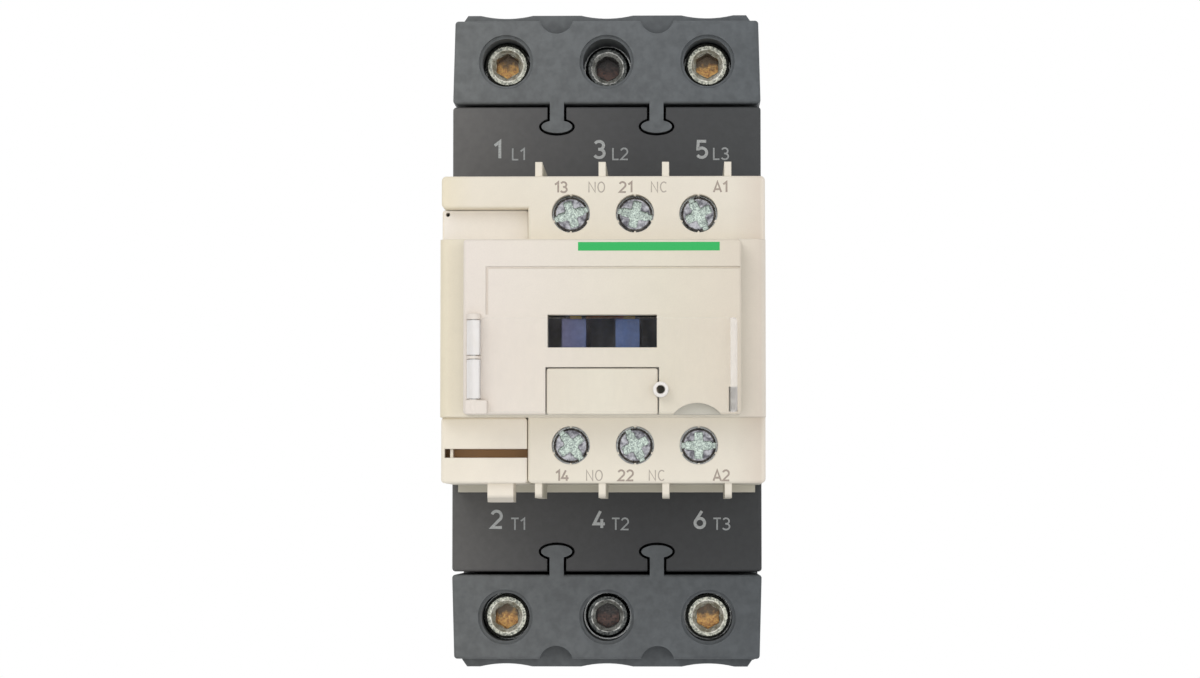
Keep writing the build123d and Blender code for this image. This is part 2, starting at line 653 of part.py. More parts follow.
def arc_plates():
    """Steel splitter plates in each end of each arc chamber, wall to wall."""
    plates = []
    for x in POLES:
        for end in (1, -1):
            for step in range(4):
                y0 = y_strip_front - 3.0 - 2.4 * step
                plate = block(x - CHAMBER_HALF_X, x + CHAMBER_HALF_X, y0, y0 - 0.8, end * 16, end * 30)
                plate -= rod_y(3.0, x, end * 16, y0 + 1, y0 - 2)
                plates.append(plate)
    return group(plates)


# ---- power terminals -----------------------------------------------------------------------
def terminal_block(end):
    """Removable block with three clamp pockets, wire entries, screw bores and two mushroom keys."""
    z_face = HALF_HEIGHT - LIP_RISE
    wide = half_width
    slim = half_width - BLOCK_DRAFT
    outline = [(-wide, end * BLOCK_Z), (wide, end * BLOCK_Z), (slim, end * z_face), (-slim, end * z_face)]
    shell = soft_front(softened(prism_y(outline, y_shelf, y_block), Axis.Y, 0.6), 0.5)
    foot = LIP_HALF_X + LIP_RISE * 0.7
    lip = [(-foot - 0.7, end * (z_face - 1)), (-LIP_HALF_X, end * HALF_HEIGHT),
           (LIP_HALF_X, end * HALF_HEIGHT), (foot + 0.7, end * (z_face - 1))]
    shell += prism_y(lip, y_shelf, y_block + LIP_SET_BACK)
    for key in mushroom_keys(end, 0, y_block, y_face + KEY_DEPTH):
        shell += key
    for x in POLES:
        shell -= block(x - CAGE_HALF_X - 0.2, x + CAGE_HALF_X + 0.2, y_shelf + 1, y_cage_front,
                       end * (CAGE_Z[0] - 0.3), end * (CAGE_Z[1] + 0.2))
        shell -= block(x - STRIP_HALF_X - GAP, x + STRIP_HALF_X + GAP, y_shelf + 1, y_wire_seat - GAP,
                       end * (BLOCK_Z - 1), end * CAGE_Z[0])
        shell -= rod_y(POWER_BORE_R, x, end * POWER_Z, y_cage_front + 1, y_block - 1)
        shell -= rod_y(POWER_RIM_R, x, end * POWER_Z, y_block + RIM_DEPTH, y_block - 1)
        entry_z = sorted((end * (CAGE_Z[1] - 1), end * (HALF_HEIGHT + 1)))
        shell -= rod_z(WIRE_R, x, y_wire_seat - WIRE_SPACE / 2, entry_z[0], entry_z[1])
        # shallow scallop in the lip over each pole
        scallop_z = end * (HALF_HEIGHT + SCALLOP_R - SCALLOP_DEPTH)
        shell -= rod_y(SCALLOP_R, x, scallop_z, y_block - 1, y_block + SCALLOP_LENGTH)
    for x in (-(POLES[2] - POLES[1]) / 2, (POLES[2] - POLES[1]) / 2):
        depth = y_block + LIP_SET_BACK
        shell -= rod_y(NOTCH_R, x, end * (z_face + 0.75), y_block - 1, depth)
        shell -= block(x - NOTCH_R, x + NOTCH_R, y_block - 1, depth, end * (z_face + 0.75),
                       end * (HALF_HEIGHT + 1))
    return shell


def power_cage(x, end):
    """Steel clamp cage; its thick front wall holds the screw's thread."""
    z0, z1 = CAGE_Z
    cage = block(x - CAGE_HALF_X, x + CAGE_HALF_X, y_cage_back, y_cage_front, end * z0, end * z1)
    inner_x = CAGE_HALF_X - CAGE_WALL
    cage -= block(x - inner_x, x + inner_x, y_low_strip, y_cage_front + CAGE_FRONT,
                  end * (z0 - 1), end * (z1 + 1))
    cage -= rod_y(POWER_SCREW_R + PIN_GAP, x, end * POWER_Z, y_cage_front - 1, y_cage_front + CAGE_FRONT + 1)
    return cage


def screw_sink(x):
    """The centre screws stand deeper at rest."""
    return CENTRE_SINK if abs(x) < 1 else 0.0


def power_clamp(x, end):
    """Pressure plate on the screw's tip."""
    inner_x = CAGE_HALF_X - CAGE_WALL - GAP
    y0 = y_clamp + screw_sink(x)
    plate = block(x - inner_x, x + inner_x, y0, y0 - CLAMP, end * (CAGE_Z[0] + 0.8), end * (CAGE_Z[1] - 0.8))
    return softened(plate, Axis.Y, 0.8)


def hex_prism(across_flats, x, z, y0, y1):
    """A hexagonal bar along Y."""
    corner = across_flats / math.sqrt(3)
    points = [(x + corner * math.cos(math.radians(60 * i + 30)),
               z + corner * math.sin(math.radians(60 * i + 30))) for i in range(6)]
    return prism_y(points, y0, y1)


def power_screw(x, end):
    """Socket set screw with a countersunk rim round its socket."""
    top = y_screw_top + screw_sink(x)
    tip = y_screw_tip + screw_sink(x)
    z = end * POWER_Z
    screw = rod_y(POWER_SCREW_R, x, z, top, tip)
    screw = chamfer(screw.edges().filter_by(GeomType.CIRCLE), 0.45)
    screw -= hex_prism(POWER_SOCKET_AF, x, z, top - 1, top + POWER_SOCKET_DEPTH)
    mouth = Cone(POWER_SOCKET_AF / 2 + 0.1, POWER_SOCKET_AF / 2 + 0.8, 0.7)
    return screw - Pos(x, top + 0.35, z) * Rot(90, 0, 0) * mouth


# ---- control housing -----------------------------------------------------------------------
def control_housing():
    """Pale front housing: wells for six screw terminals, the middle band and the skirt."""
    y_back = y_face - SKIRT
    y_module = y_term + MODULE_BACK
    shell = block(-SKIRT_HALF_X, SKIRT_HALF_X, y_face, y_back - 0.5, -SKIRT_HALF_Z, SKIRT_HALF_Z)
    shell += softened(block(-half_width, half_width, y_back, y_module, -CONTROL_HALF_Z, CONTROL_HALF_Z),
                      Axis.Y, EDGE)
    tower = block(MODULE_RIGHT + MODULE_GAP, half_width, y_back, y_term, -CONTROL_HALF_Z, CONTROL_HALF_Z)
    shell += soft_front(softened(tower, Axis.Y, 0.8), 0.5)
    corner = block(-half_width, MODULE_RIGHT + 5, y_back, y_term, RECESS_Z, CONTROL_HALF_Z)
    shell += soft_front(softened(corner, Axis.Y, 0.8), 0.5)
    band = block(-half_width, half_width, y_back, y_band, -BAND_Z, BAND_Z)
    band = fillet(band.edges().filter_by(Axis.Z).sort_by(Axis.Y)[:2], SHOULDER_R)
    shell += band
    for x in FIN_X:
        for end in (1, -1):
            shell += prism_x(
                [(y_term + 0.5, end * (CONTROL_HALF_Z - 1)), (y_term + 0.9, end * FIN_Z),
                 (y_back - 4, end * FIN_Z), (y_back - 1, end * (CONTROL_HALF_Z - 1))],
                x - FIN_THICK / 2, x + FIN_THICK / 2)
    shell -= block(-half_width + WALL, half_width - WALL, y_face + 1, y_band + 2.0, -CAVITY_Z, CAVITY_Z)
    shell -= block(-WINDOW_HALF_X - 0.5, WINDOW_HALF_X + 0.5, y_band - 1, y_band + 3,
                   WINDOW_Z[0] - 0.5, WINDOW_Z[1] + 0.5)
    strip_back = y_control_strip + CONTROL_STRIP
    for x in CONTROL_X:
        for end in (1, -1):
            z0, z1 = end * WELL_Z[0], end * WELL_Z[1]
            shell -= rod_y(CONTROL_HOLE_R, x, end * CONTROL_Z, y_term - 1, y_washer)
            shell -= block(x - WELL_HALF_X, x + WELL_HALF_X, y_washer - GAP, strip_back, z0, z1)
            shell -= block(x - 2.2, x + 2.2, strip_back - 0.1, y_face + 1, z0, z1)
            shell -= block(x - 3.1, x + 3.1, y_control_strip - 0.2, strip_back,
                           end * (CAVITY_Z - 1), end * (WELL_Z[0] + 1))
            entry_front = y_control_strip - CONTROL_WIRE_SPACE + 0.3
            shell -= block(x - 3.0, x + 3.0, entry_front, y_control_strip - 0.1,
                           end * (WELL_Z[1] - 1), end * (CONTROL_HALF_Z + 1))
    return shell


def side_blank(end):
    """Blanking module on the left: set back above the middle band, with a long slot below it."""
    y_back = y_term + MODULE_BACK
    if end > 0:
        module = block(-half_width, MODULE_RIGHT, y_back, y_term + RECESS_DEPTH, BAND_Z, RECESS_Z - 0.1)
        module = softened(module, Axis.Y, 0.4)
        hole_x, hole_z = -half_width + 0.9, RECESS_Z - 0.8
        return module - rod_y(PIN_HOLE_R, hole_x, hole_z, y_term, y_term + RECESS_DEPTH + 4)
    module = block(-half_width, MODULE_RIGHT, y_back, y_term, -BAND_Z, -CONTROL_HALF_Z)
    module = soft_front(softened(module, Axis.Y, 0.6), 0.4)
    top, bottom = BLANK_SLOT
    y_floor = y_term + SLOT_BACK
    module -= block(-half_width + 0.6, MODULE_RIGHT + 1, y_term - 1, y_floor, top, bottom)
    module += block(-half_width + 1.5, -half_width + 2, y_term + 0.8, y_floor, top, bottom)
    module += block(TAB_X[0], TAB_X[1], y_term + 1.5, y_term + 12, -CONTROL_HALF_Z + 1, TAB_END)
    bevel = [(y_term + 1, TAB_END - 0.5), (y_term + 1, TAB_END + 1.1), (y_term + 3.2, TAB_END - 0.5)]
    return module - prism_x(bevel, TAB_X[0] - 1, TAB_X[1] + 1)


def control_strip(x, end, inner_x=None):
    """Terminal strip: flat under the screw, through the wall, then back to its contact or lead."""
    strip_back = y_control_strip + CONTROL_STRIP
    low, high = x - 2.8, x + 2.8
    jog = (CAVITY_Z - 1.8, CAVITY_Z - 0.3)
    strip = block(x - WELL_HALF_X + GAP, x + WELL_HALF_X - GAP, y_control_strip, strip_back,
                  end * (WELL_Z[0] + GAP), end * (WELL_Z[1] - 0.8))
    strip += block(low, high, y_control_strip, strip_back, end * jog[0], end * (WELL_Z[0] + 1))
    if inner_x is None:
        strip += block(low, high, y_control_strip, y_aux_strip + CONTROL_STRIP, end * jog[0], end * jog[1])
        strip += block(low, high, y_aux_strip, y_aux_strip + CONTROL_STRIP, end * 5.5, end * jog[1])
    else:
        strip += block(low, high, y_control_strip, y_lead, end * jog[0], end * jog[1])
        strip += block(inner_x - 0.8, high, y_lead - 1.5, y_lead, end * jog[0], end * jog[1])
    strip -= rod_y(CONTROL_SHANK_R + PIN_GAP, x, end * CONTROL_Z, y_control_strip - 1, strip_back + 1)
    return strip


def control_strips():
    """Four auxiliary contact strips and two coil strips."""
    strips = [control_strip(x, end) for x in CONTROL_X[:2] for end in (1, -1)]
    strips += [control_strip(CONTROL_X[2], end, LEAD_X) for end in (1, -1)]
    return group(strips)


def coil_leads():
    """Stiff leads from the winding, through the partition, to the coil strips."""
    leads = []
    for end in (1, -1):
        leads.append(rod_y(LEAD_R, LEAD_X, end * LEAD_Z, y_bobbin_front, y_lead))
    return group(leads)


def control_screw(x, end, turned):
    """Slotted screw with a cross recess, its slot turned clockwise from level by some degrees."""
    z = end * CONTROL_Z
    slot = block(-CONTROL_HEAD_R - 1, CONTROL_HEAD_R + 1, y_head_top - 1, y_head_top + SLOT_DEPTH,
                 -SLOT_HALF, SLOT_HALF)
    cross = block(-CROSS_HALF, CROSS_HALF, y_head_top - 1, y_head_top + CROSS_DEPTH, -CROSS_ARM, CROSS_ARM)
    cross += block(-CROSS_ARM, CROSS_ARM, y_head_top - 1, y_head_top + CROSS_DEPTH, -CROSS_HALF, CROSS_HALF)
    recess = Pos(x, 0, z) * Rot(0, turned, 0) * (slot + softened(cross, Axis.Y, CROSS_EDGE))
    head = rod_y(CONTROL_HEAD_R, x, z, y_head_top, y_washer)
    head = chamfer(head.edges().filter_by(GeomType.CIRCLE).sort_by(Axis.Y)[0], 0.35)
    return head - recess + rod_y(CONTROL_SHANK_R, x, z, y_washer - 0.01, y_washer + CONTROL_SHANK)


def control_washer(x, end):
    """Square clamping washer held under the screw's head."""
    z = end * CONTROL_Z
    washer = block(x - WASHER_HALF, x + WASHER_HALF, y_washer, y_washer + WASHER,
                   z - WASHER_HALF, z + WASHER_HALF)
    return washer - rod_y(CONTROL_SHANK_R + PIN_GAP, x, z, y_washer - 1, y_washer + 3)


# ---- hood, label plate and clear cover -----------------------------------------------------
y_hinge = y_front + HINGE_R


def front_hood():
    """Hood over the middle band with the window, the label pocket and the cover's hinge ears."""
    hood = block(-HOOD_HALF_X, HOOD_HALF_X, y_band, y_hood, -HOOD_Z, HOOD_Z)
    hood = soft_front(softened(hood, Axis.Y, EDGE), 0.5)
    hood -= block(-HOOD_HALF_X + 1.8, HOOD_HALF_X - 1.8, y_band + 1, y_hood + 1.8, 3.4, HOOD_Z - 1.8)
    # ears beside the barrels, then the groove that the barrels turn in
    for low, high in ((BARRELS[0][1] + 0.15, WINDOW_Z[1] + 0.1), (BARRELS[1][1] + 0.15, BARRELS[0][0] - 0.15),
                      (-HOOD_Z, BARRELS[1][0] - 0.15)):
        hood += rod_z(HINGE_R, HINGE_X, y_hinge, low, high)
        hood += block(HINGE_X - HINGE_R, HINGE_X + HINGE_R, y_hinge, y_hood + 0.1, low, high)
    corner = block(-HOOD_HALF_X + 0.4, CORNER_BLOCK[0], y_front + 0.1, y_hood + 0.1, -HOOD_Z, CORNER_BLOCK[1])
    hood += soft_front(softened(corner, Axis.Y, 0.3), 0.2)
    for low, high in BARRELS:
        hood -= rod_z(HINGE_R + GAP, HINGE_X, y_hinge, low - 0.15, high + 0.15)
    hood -= rod_z(HINGE_PIN_R, HINGE_X, y_hinge, BARRELS[1][0] - 1.5, WINDOW_Z[1] + 0.1)
    hood -= block(-WINDOW_HALF_X, WINDOW_HALF_X, y_band + 1, y_hood - 1, WINDOW_Z[0], WINDOW_Z[1])
    hood -= block(-LABEL_HALF_X - 0.2, LABEL_HALF_X + 0.2, y_hood + LABEL_THICK + 0.1, y_hood - 1,
                  LABEL_Z[0] - 1, LABEL_Z[1] + 0.2)
    hood -= block(LATCH_X[0] - GAP, LATCH_X[1] + GAP, y_hood - 1, y_hood + 2.2,
                  LATCH_Z[0] - GAP, LATCH_Z[1] + GAP)
    hood -= rod_y(COVER_NOTCH_R + 0.1, NOTCH_X, -HOOD_Z - NOTCH_DROP, y_hood - 1, y_hood + 1.4)
    hood -= rod_y(EYELET_R, EYELET[0], EYELET[1], y_hood - 1, y_band + 1)
    # fine groove round the upper label field
    groove_y = y_hood + 0.25
    hood -= block(PANEL_X[0], PANEL_X[1], groove_y, y_hood - 1, PANEL_Z[1], PANEL_Z[1] - GROOVE)
    hood -= block(PANEL_X[0], PANEL_X[0] + GROOVE, groove_y, y_hood - 1, PANEL_Z[0], PANEL_Z[1])
    return hood


def label_plate():
    """Blank snap-in marker plate."""
    plate = block(-LABEL_HALF_X, LABEL_HALF_X, y_hood + LABEL_THICK, y_hood, LABEL_Z[0], LABEL_Z[1])
    return soft_front(softened(plate, Axis.Y, 0.4), 0.25)


def clear_cover():
    """Clear flap with two hinge barrels, a sealing eyelet and a latch."""
    y_back = y_front + COVER_THICK
    cover = block(COVER_X[0], COVER_X[1], y_back, y_front, COVER_Z[0], COVER_Z[1])
    cover = soft_front(softened(cover, Axis.Y, EDGE), 0.3)
    for low, high in BARRELS:
        cover += rod_z(HINGE_R, HINGE_X, y_hinge, low, high)
        cover += block(HINGE_X, COVER_X[0] + 0.5, y_back, y_front, low, high)
    for low, high in BARRELS:
        cover -= rod_z(HINGE_PIN_R + PIN_GAP, HINGE_X, y_hinge, low - 1, high + 1)
    hook = block(LATCH_X[0], LATCH_X[1], y_back, y_hood + 1.6, LATCH_Z[0], LATCH_Z[1])
    hook -= block(LATCH_X[0] - 1, LATCH_X[1] + 1, y_back + 0.4, y_hood + 2, LATCH_Z[0] + 1.1, LATCH_Z[0] + 1.7)
    cover += hook
    cover -= rod_y(EYELET_R, EYELET[0], EYELET[1], y_front - 1, y_back + 1)
    cover -= rod_y(COVER_NOTCH_R, NOTCH_X, -HOOD_Z - NOTCH_DROP, y_front - 1, y_back + 1)
    corner_right, corner_top = CORNER_BLOCK
    cover -= block(HINGE_X - 3, corner_right + CORNER_GAP, y_front - 1, y_back + 1,
                   -HOOD_Z - 1, corner_top + 0.1)
    return cover


def cover_hinge_pin():
    """Steel pin held in the hood's ears."""
    return rod_z(HINGE_PIN_R, HINGE_X, y_hinge, BARRELS[1][0] - 1.4, WINDOW_Z[1])


# ---- files ---------------------------------------------------------------------------------
nodes = {
    "rear_base": rear_base(),
    "din_clip": din_clip(),
    "din_clip_spring": din_clip_spring(),
    "core_cushion": core_cushion(),
    "fixed_core": fixed_core(),
    "shading_rings": group(both_ends(shading_ring)),
    "coil_bobbin": coil_bobbin(),
    "coil_winding": coil_winding(),
    "coil_leads": coil_leads(),
    "return_springs": return_springs(),
    "armature": armature(),
    "armature_rivets": armature_keys(),
    "contact_carrier": contact_carrier(),
    "contact_springs": contact_springs(),
    "fixed_contacts": fixed_contacts(),
    "fixed_tips": fixed_tips(),
    "arc_plates": arc_plates(),
    "main_body": main_body(),
    "upper_terminal_block": terminal_block(1),
    "lower_terminal_block": terminal_block(-1),
    "power_cages": group([power_cage(x, end) for x in POLES for end in (1, -1)]),
    "control_housing": control_housing(),
    "side_blank_upper": side_blank(1),
    "side_blank_lower": side_blank(-1),
    "control_strips": control_strips(),
    "aux_bridge_closing": aux_bridge(0),
    "aux_bridge_opening": aux_bridge(1),
    "aux_springs": aux_springs(),
    "front_hood": front_hood(),
    "label_plate": label_plate(),
    "clear_cover": clear_cover(),
    "cover_hinge_pin": cover_hinge_pin(),
}
for number, pole in enumerate(POLES, 1):
    nodes[f"pole_bridge_{number}"] = pole_bridge(pole)
    for side_name, way in (("line", 1), ("load", -1)):
        nodes[f"power_screw_{side_name}_{number}"] = power_screw(pole, way)
        nodes[f"power_clamp_{side_name}_{number}"] = power_clamp(pole, way)
for number, column in enumerate(CONTROL_X, 1):
    for side_name, way in (("upper", 1), ("lower", -1)):
        turned = CONTROL_TURNED[way][number - 1]
        nodes[f"control_screw_{side_name}_{number}"] = control_screw(column, way, turned)
        nodes[f"control_washer_{side_name}_{number}"] = control_washer(column, way)

os.makedirs("parts", exist_ok=True)
for name, shape in nodes.items():
    export_step(shape, f"parts/{name}.step")
print(len(nodes), "nodes")
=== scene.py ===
"""Finish of a three-pole rail contactor: moulded plastics, plated screws, markings and the clear flap.

Metres throughout, in the frame of the CAD: X to the right seen from the front, Z up, front faces -Y.
"""
import math

import bpy
import numpy as np
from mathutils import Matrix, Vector


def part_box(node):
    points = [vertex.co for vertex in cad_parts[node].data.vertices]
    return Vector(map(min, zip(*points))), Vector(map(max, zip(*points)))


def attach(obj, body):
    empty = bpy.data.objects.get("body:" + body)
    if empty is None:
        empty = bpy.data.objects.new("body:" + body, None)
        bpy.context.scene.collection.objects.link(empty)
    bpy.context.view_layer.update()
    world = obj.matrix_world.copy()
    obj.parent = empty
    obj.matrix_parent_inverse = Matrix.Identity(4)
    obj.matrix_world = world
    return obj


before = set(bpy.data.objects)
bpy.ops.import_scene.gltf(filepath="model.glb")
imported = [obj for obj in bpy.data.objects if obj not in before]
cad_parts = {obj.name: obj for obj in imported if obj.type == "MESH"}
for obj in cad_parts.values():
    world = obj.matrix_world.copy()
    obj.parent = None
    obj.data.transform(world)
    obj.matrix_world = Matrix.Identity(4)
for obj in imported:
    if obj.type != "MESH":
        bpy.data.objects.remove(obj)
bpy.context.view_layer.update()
MM = 0.001


# ---- measures taken from the CAD ------------------------------------------------------------
def low(node):
    """Lowest corner of a node, in millimetres."""
    return np.array(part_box(node)[0]) / MM


def high(node):
    """Highest corner of a node, in millimetres."""
    return np.array(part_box(node)[1]) / MM


FACE_DARK = low("main_body")[1]
FACE_TERMINALS = low("side_blank_lower")[1]
FACE_HOOD = low("label_plate")[1]
FACE_COVER = low("clear_cover")[1]
HALF_WIDTH = high("control_housing")[0]
CONTROL_SCREWS = {
    (side, n): (low(f"control_screw_{side}_{n}") + high(f"control_screw_{side}_{n}")) / 2
    for side in ("upper", "lower") for n in (1, 2, 3)
}
HOLE_R = 3.25


# ---- colours --------------------------------------------------------------------------------
def paint(red, green, blue):
    """A colour given as 0 to 255 display values, turned into linear light."""
    value = np.array([red, green, blue]) / 255.0
    linear = np.where(value <= 0.04045, value / 12.92, ((value + 0.055) / 1.055) ** 2.4)
    return (*[float(v) for v in linear], 1.0)


# ---- material building blocks ---------------------------------------------------------------
def add(tree, kind, inputs=None, **settings):
    """One shader node; an input given as a socket is linked, any other is set."""
    made = tree.nodes.new(kind)
    for key, value in settings.items():
        setattr(made, key, value)
    for key, value in (inputs or {}).items():
        if isinstance(value, bpy.types.NodeSocket):
            tree.links.new(value, made.inputs[key])
        else:
            made.inputs[key].default_value = value
    return made


def start_finish(name):
    """A new material with its tree and its shader."""
    material = bpy.data.materials.new(name)
    material.use_nodes = True
    return material, material.node_tree, material.node_tree.nodes["Principled BSDF"]


def place_on_part(tree):
    """Position on the part, as a socket, and its X, Y and Z."""
    where = add(tree, "ShaderNodeTexCoord").outputs["Object"]
    return where, add(tree, "ShaderNodeSeparateXYZ", {0: where}).outputs


def ramp_over(tree, value, start, stop, to_low=0.0, to_high=1.0):
    """value from start to stop, as to_low to to_high, held at both ends."""
    made = add(tree, "ShaderNodeMapRange",
               {0: value, 1: start, 2: stop, 3: to_low, 4: to_high}, clamp=True)
    return made.outputs[0]


def speckle(tree, where, size_mm, detail=2.0):
    """Noise whose lumps are about size_mm across."""
    made = add(tree, "ShaderNodeTexNoise",
               {"Vector": where, "Scale": 1.0 / (size_mm * MM), "Detail": detail, "Roughness": 0.55})
    return made.outputs[0]


def blended(tree, share, first, second, how="MIX"):
    """Two colours mixed by share."""
    made = add(tree, "ShaderNodeMix", {0: share, 6: first, 7: second}, data_type="RGBA", blend_type=how)
    return made.outputs[2]


def maths(tree, what, *values):
    """One arithmetic step."""
    return add(tree, "ShaderNodeMath", dict(enumerate(values)), operation=what).outputs[0]


def edges_of(tree, radius_mm):
    """A rounded normal, and a share that is 1 on edges and 0 on flat faces."""
    rounded = add(tree, "ShaderNodeBevel", {0: radius_mm * MM}, samples=4).outputs[0]
    flat = add(tree, "ShaderNodeNewGeometry").outputs["Normal"]
    same = add(tree, "ShaderNodeVectorMath", {0: rounded, 1: flat}, operation="DOT_PRODUCT").outputs["Value"]
    return rounded, ramp_over(tree, same, 0.995, 0.80)


def colours_across(tree, value, stops):
    """Colour ramp with its stops at shares 0 to 1."""
    made = add(tree, "ShaderNodeValToRGB", {0: value})
    ramp = made.color_ramp
    while len(ramp.elements) < len(stops):
        ramp.elements.new(0.5)
    for element, (share, colour) in zip(ramp.elements, stops):
        element.position = share
        element.color = colour
    return made.outputs[0]


def moulding(name, stops, cloud=0.03, cloud_mm=9.0, mottle=0.0, mottle_mm=1.6, grain_mm=0.22, relief=0.004,
             rough=(0.42, 0.56), edge=None, edge_share=0.3, pocket_shade=None, specular=0.5, lower=None):
    """Moulded plastic: colour stops across the width, clouding, mottling, spark grain, and edges lightened
    partly as wear and partly as painted highlight.

    stops are (X in mm, colour); the pocket shade is (Y where it starts, Y where it is full, colour), painted
    shade in pockets, with a lowest and highest Z where only a band of heights is meant; the outer sides are
    left out;
    lower is (Z where it starts, Z where it is full, share of the colour left there), painted shade towards
    the bottom.
    """
    material, tree, shader = start_finish(name)
    where, axes = place_on_part(tree)
    across = ramp_over(tree, axes[0], -HALF_WIDTH * MM, HALF_WIDTH * MM)
    colour = colours_across(tree, across, [((x + HALF_WIDTH) / (2 * HALF_WIDTH), c) for x, c in stops])
    lumps = speckle(tree, where, cloud_mm, 3.0)
    shade = ramp_over(tree, lumps, 0.3, 0.7, 1.0 - cloud, 1.0 + cloud)
    colour = blended(tree, 1.0, colour, shade, "MULTIPLY")
    grain = speckle(tree, where, grain_mm, 2.0)
    if mottle:
        flecks = ramp_over(tree, speckle(tree, where, mottle_mm, 4.0), 0.35, 0.65, 1.0 - mottle, 1.0 + mottle)
        colour = blended(tree, 1.0, colour, flecks, "MULTIPLY")
    fine = ramp_over(tree, grain, 0.3, 0.7, 0.985, 1.015)
    colour = blended(tree, 1.0, colour, fine, "MULTIPLY")
    # Painted shade: darker towards the bottom.
    if lower:
        left = ramp_over(tree, axes[2], lower[0] * MM, lower[1] * MM, 1.0, lower[2])
        colour = blended(tree, 1.0, colour, left, "MULTIPLY")
    # Painted shade in pockets: faces further back go towards the pocket colour.
    if pocket_shade:
        share = ramp_over(tree, axes[1], pocket_shade[0] * MM, pocket_shade[1] * MM)
        inwards = maths(tree, "LESS_THAN", maths(tree, "ABSOLUTE", axes[0]), (HALF_WIDTH - 0.1) * MM)
        share = maths(tree, "MULTIPLY", share, inwards)
        if len(pocket_shade) > 3:
            above = maths(tree, "GREATER_THAN", axes[2], pocket_shade[3] * MM)
            below = maths(tree, "LESS_THAN", axes[2], pocket_shade[4] * MM)
            share = maths(tree, "MULTIPLY", share, maths(tree, "MULTIPLY", above, below))
        colour = blended(tree, share, colour, pocket_shade[2])
    rounded, rim = edges_of(tree, 0.22)
    # Edges made lighter: partly wear, partly painted highlight.
    if edge:
        wear_and_highlight = maths(tree, "MULTIPLY", rim, ramp_over(tree, lumps, 0.35, 0.6, 0.2 * edge_share, edge_share))
        colour = blended(tree, wear_and_highlight, colour, edge)
    tree.links.new(colour, shader.inputs["Base Color"])
    both = maths(tree, "ADD", maths(tree, "MULTIPLY", grain, 0.6), maths(tree, "MULTIPLY", lumps, 0.4))
    tree.links.new(ramp_over(tree, both, 0.3, 0.7, *rough), shader.inputs["Roughness"])
    shader.inputs["Specular IOR Level"].default_value = specular
    bump = add(tree, "ShaderNodeBump", {"Strength": 0.55, "Distance": relief * MM, "Height": grain,
                                        "Normal": rounded})
    tree.links.new(bump.outputs[0], shader.inputs["Normal"])
    return material


def metal(name, first, second, blotch_mm=1.2, rough=(0.22, 0.42), scratch=0.0, sheets=None,
          relief=0.003, shaded=None):
    """Metal between two tones in blotches.

    sheets is (axis number, pitch in mm) for stacked core sheets or wound turns; shaded is a range of
    heights above or below the middle where the metal is painted dark as shade.
    """
    material, tree, shader = start_finish(name)
    where, axes = place_on_part(tree)
    blotches = speckle(tree, where, blotch_mm, 4.0)
    colour = blended(tree, ramp_over(tree, blotches, 0.35, 0.65), first, second)
    fine = speckle(tree, where, 0.12, 2.0)
    height = fine
    if scratch:
        stretched = add(tree, "ShaderNodeMapping", {"Vector": where, "Scale": (1.0, 1.0, 9.0)}).outputs[0]
        lines = speckle(tree, stretched, 0.5, 4.0)
        marks = ramp_over(tree, lines, 0.35, 0.65, 1.0 - scratch, 1.0 + scratch)
        colour = blended(tree, 1.0, colour, marks, "MULTIPLY")
        height = maths(tree, "ADD", fine, lines)
    if sheets:
        phase = maths(tree, "MULTIPLY", axes[sheets[0]], 2 * math.pi / (sheets[1] * MM))
        wave = maths(tree, "SINE", phase)
        seam = ramp_over(tree, wave, -1.0, -0.55, 0.55, 1.0)
        colour = blended(tree, 1.0, colour, seam, "MULTIPLY")
        height = maths(tree, "ADD", maths(tree, "MULTIPLY", wave, 2.5), height)
    if shaded:
        height_off = maths(tree, "ABSOLUTE", axes[2])
        within = maths(tree, "MULTIPLY", ramp_over(tree, height_off, (shaded[0] - 0.3) * MM, shaded[0] * MM),
                       ramp_over(tree, height_off, (shaded[1] + 0.3) * MM, shaded[1] * MM))
        colour = blended(tree, within, colour, paint(34, 32, 32))
    tree.links.new(colour, shader.inputs["Base Color"])
    shader.inputs["Metallic"].default_value = 1.0
    tree.links.new(ramp_over(tree, fine, 0.3, 0.7, *rough), shader.inputs["Roughness"])
    rounded, _rim = edges_of(tree, 0.12)
    bump = add(tree, "ShaderNodeBump", {"Strength": 0.5, "Distance": relief * MM, "Height": height,
                                        "Normal": rounded})
    tree.links.new(bump.outputs[0], shader.inputs["Normal"])
    return material


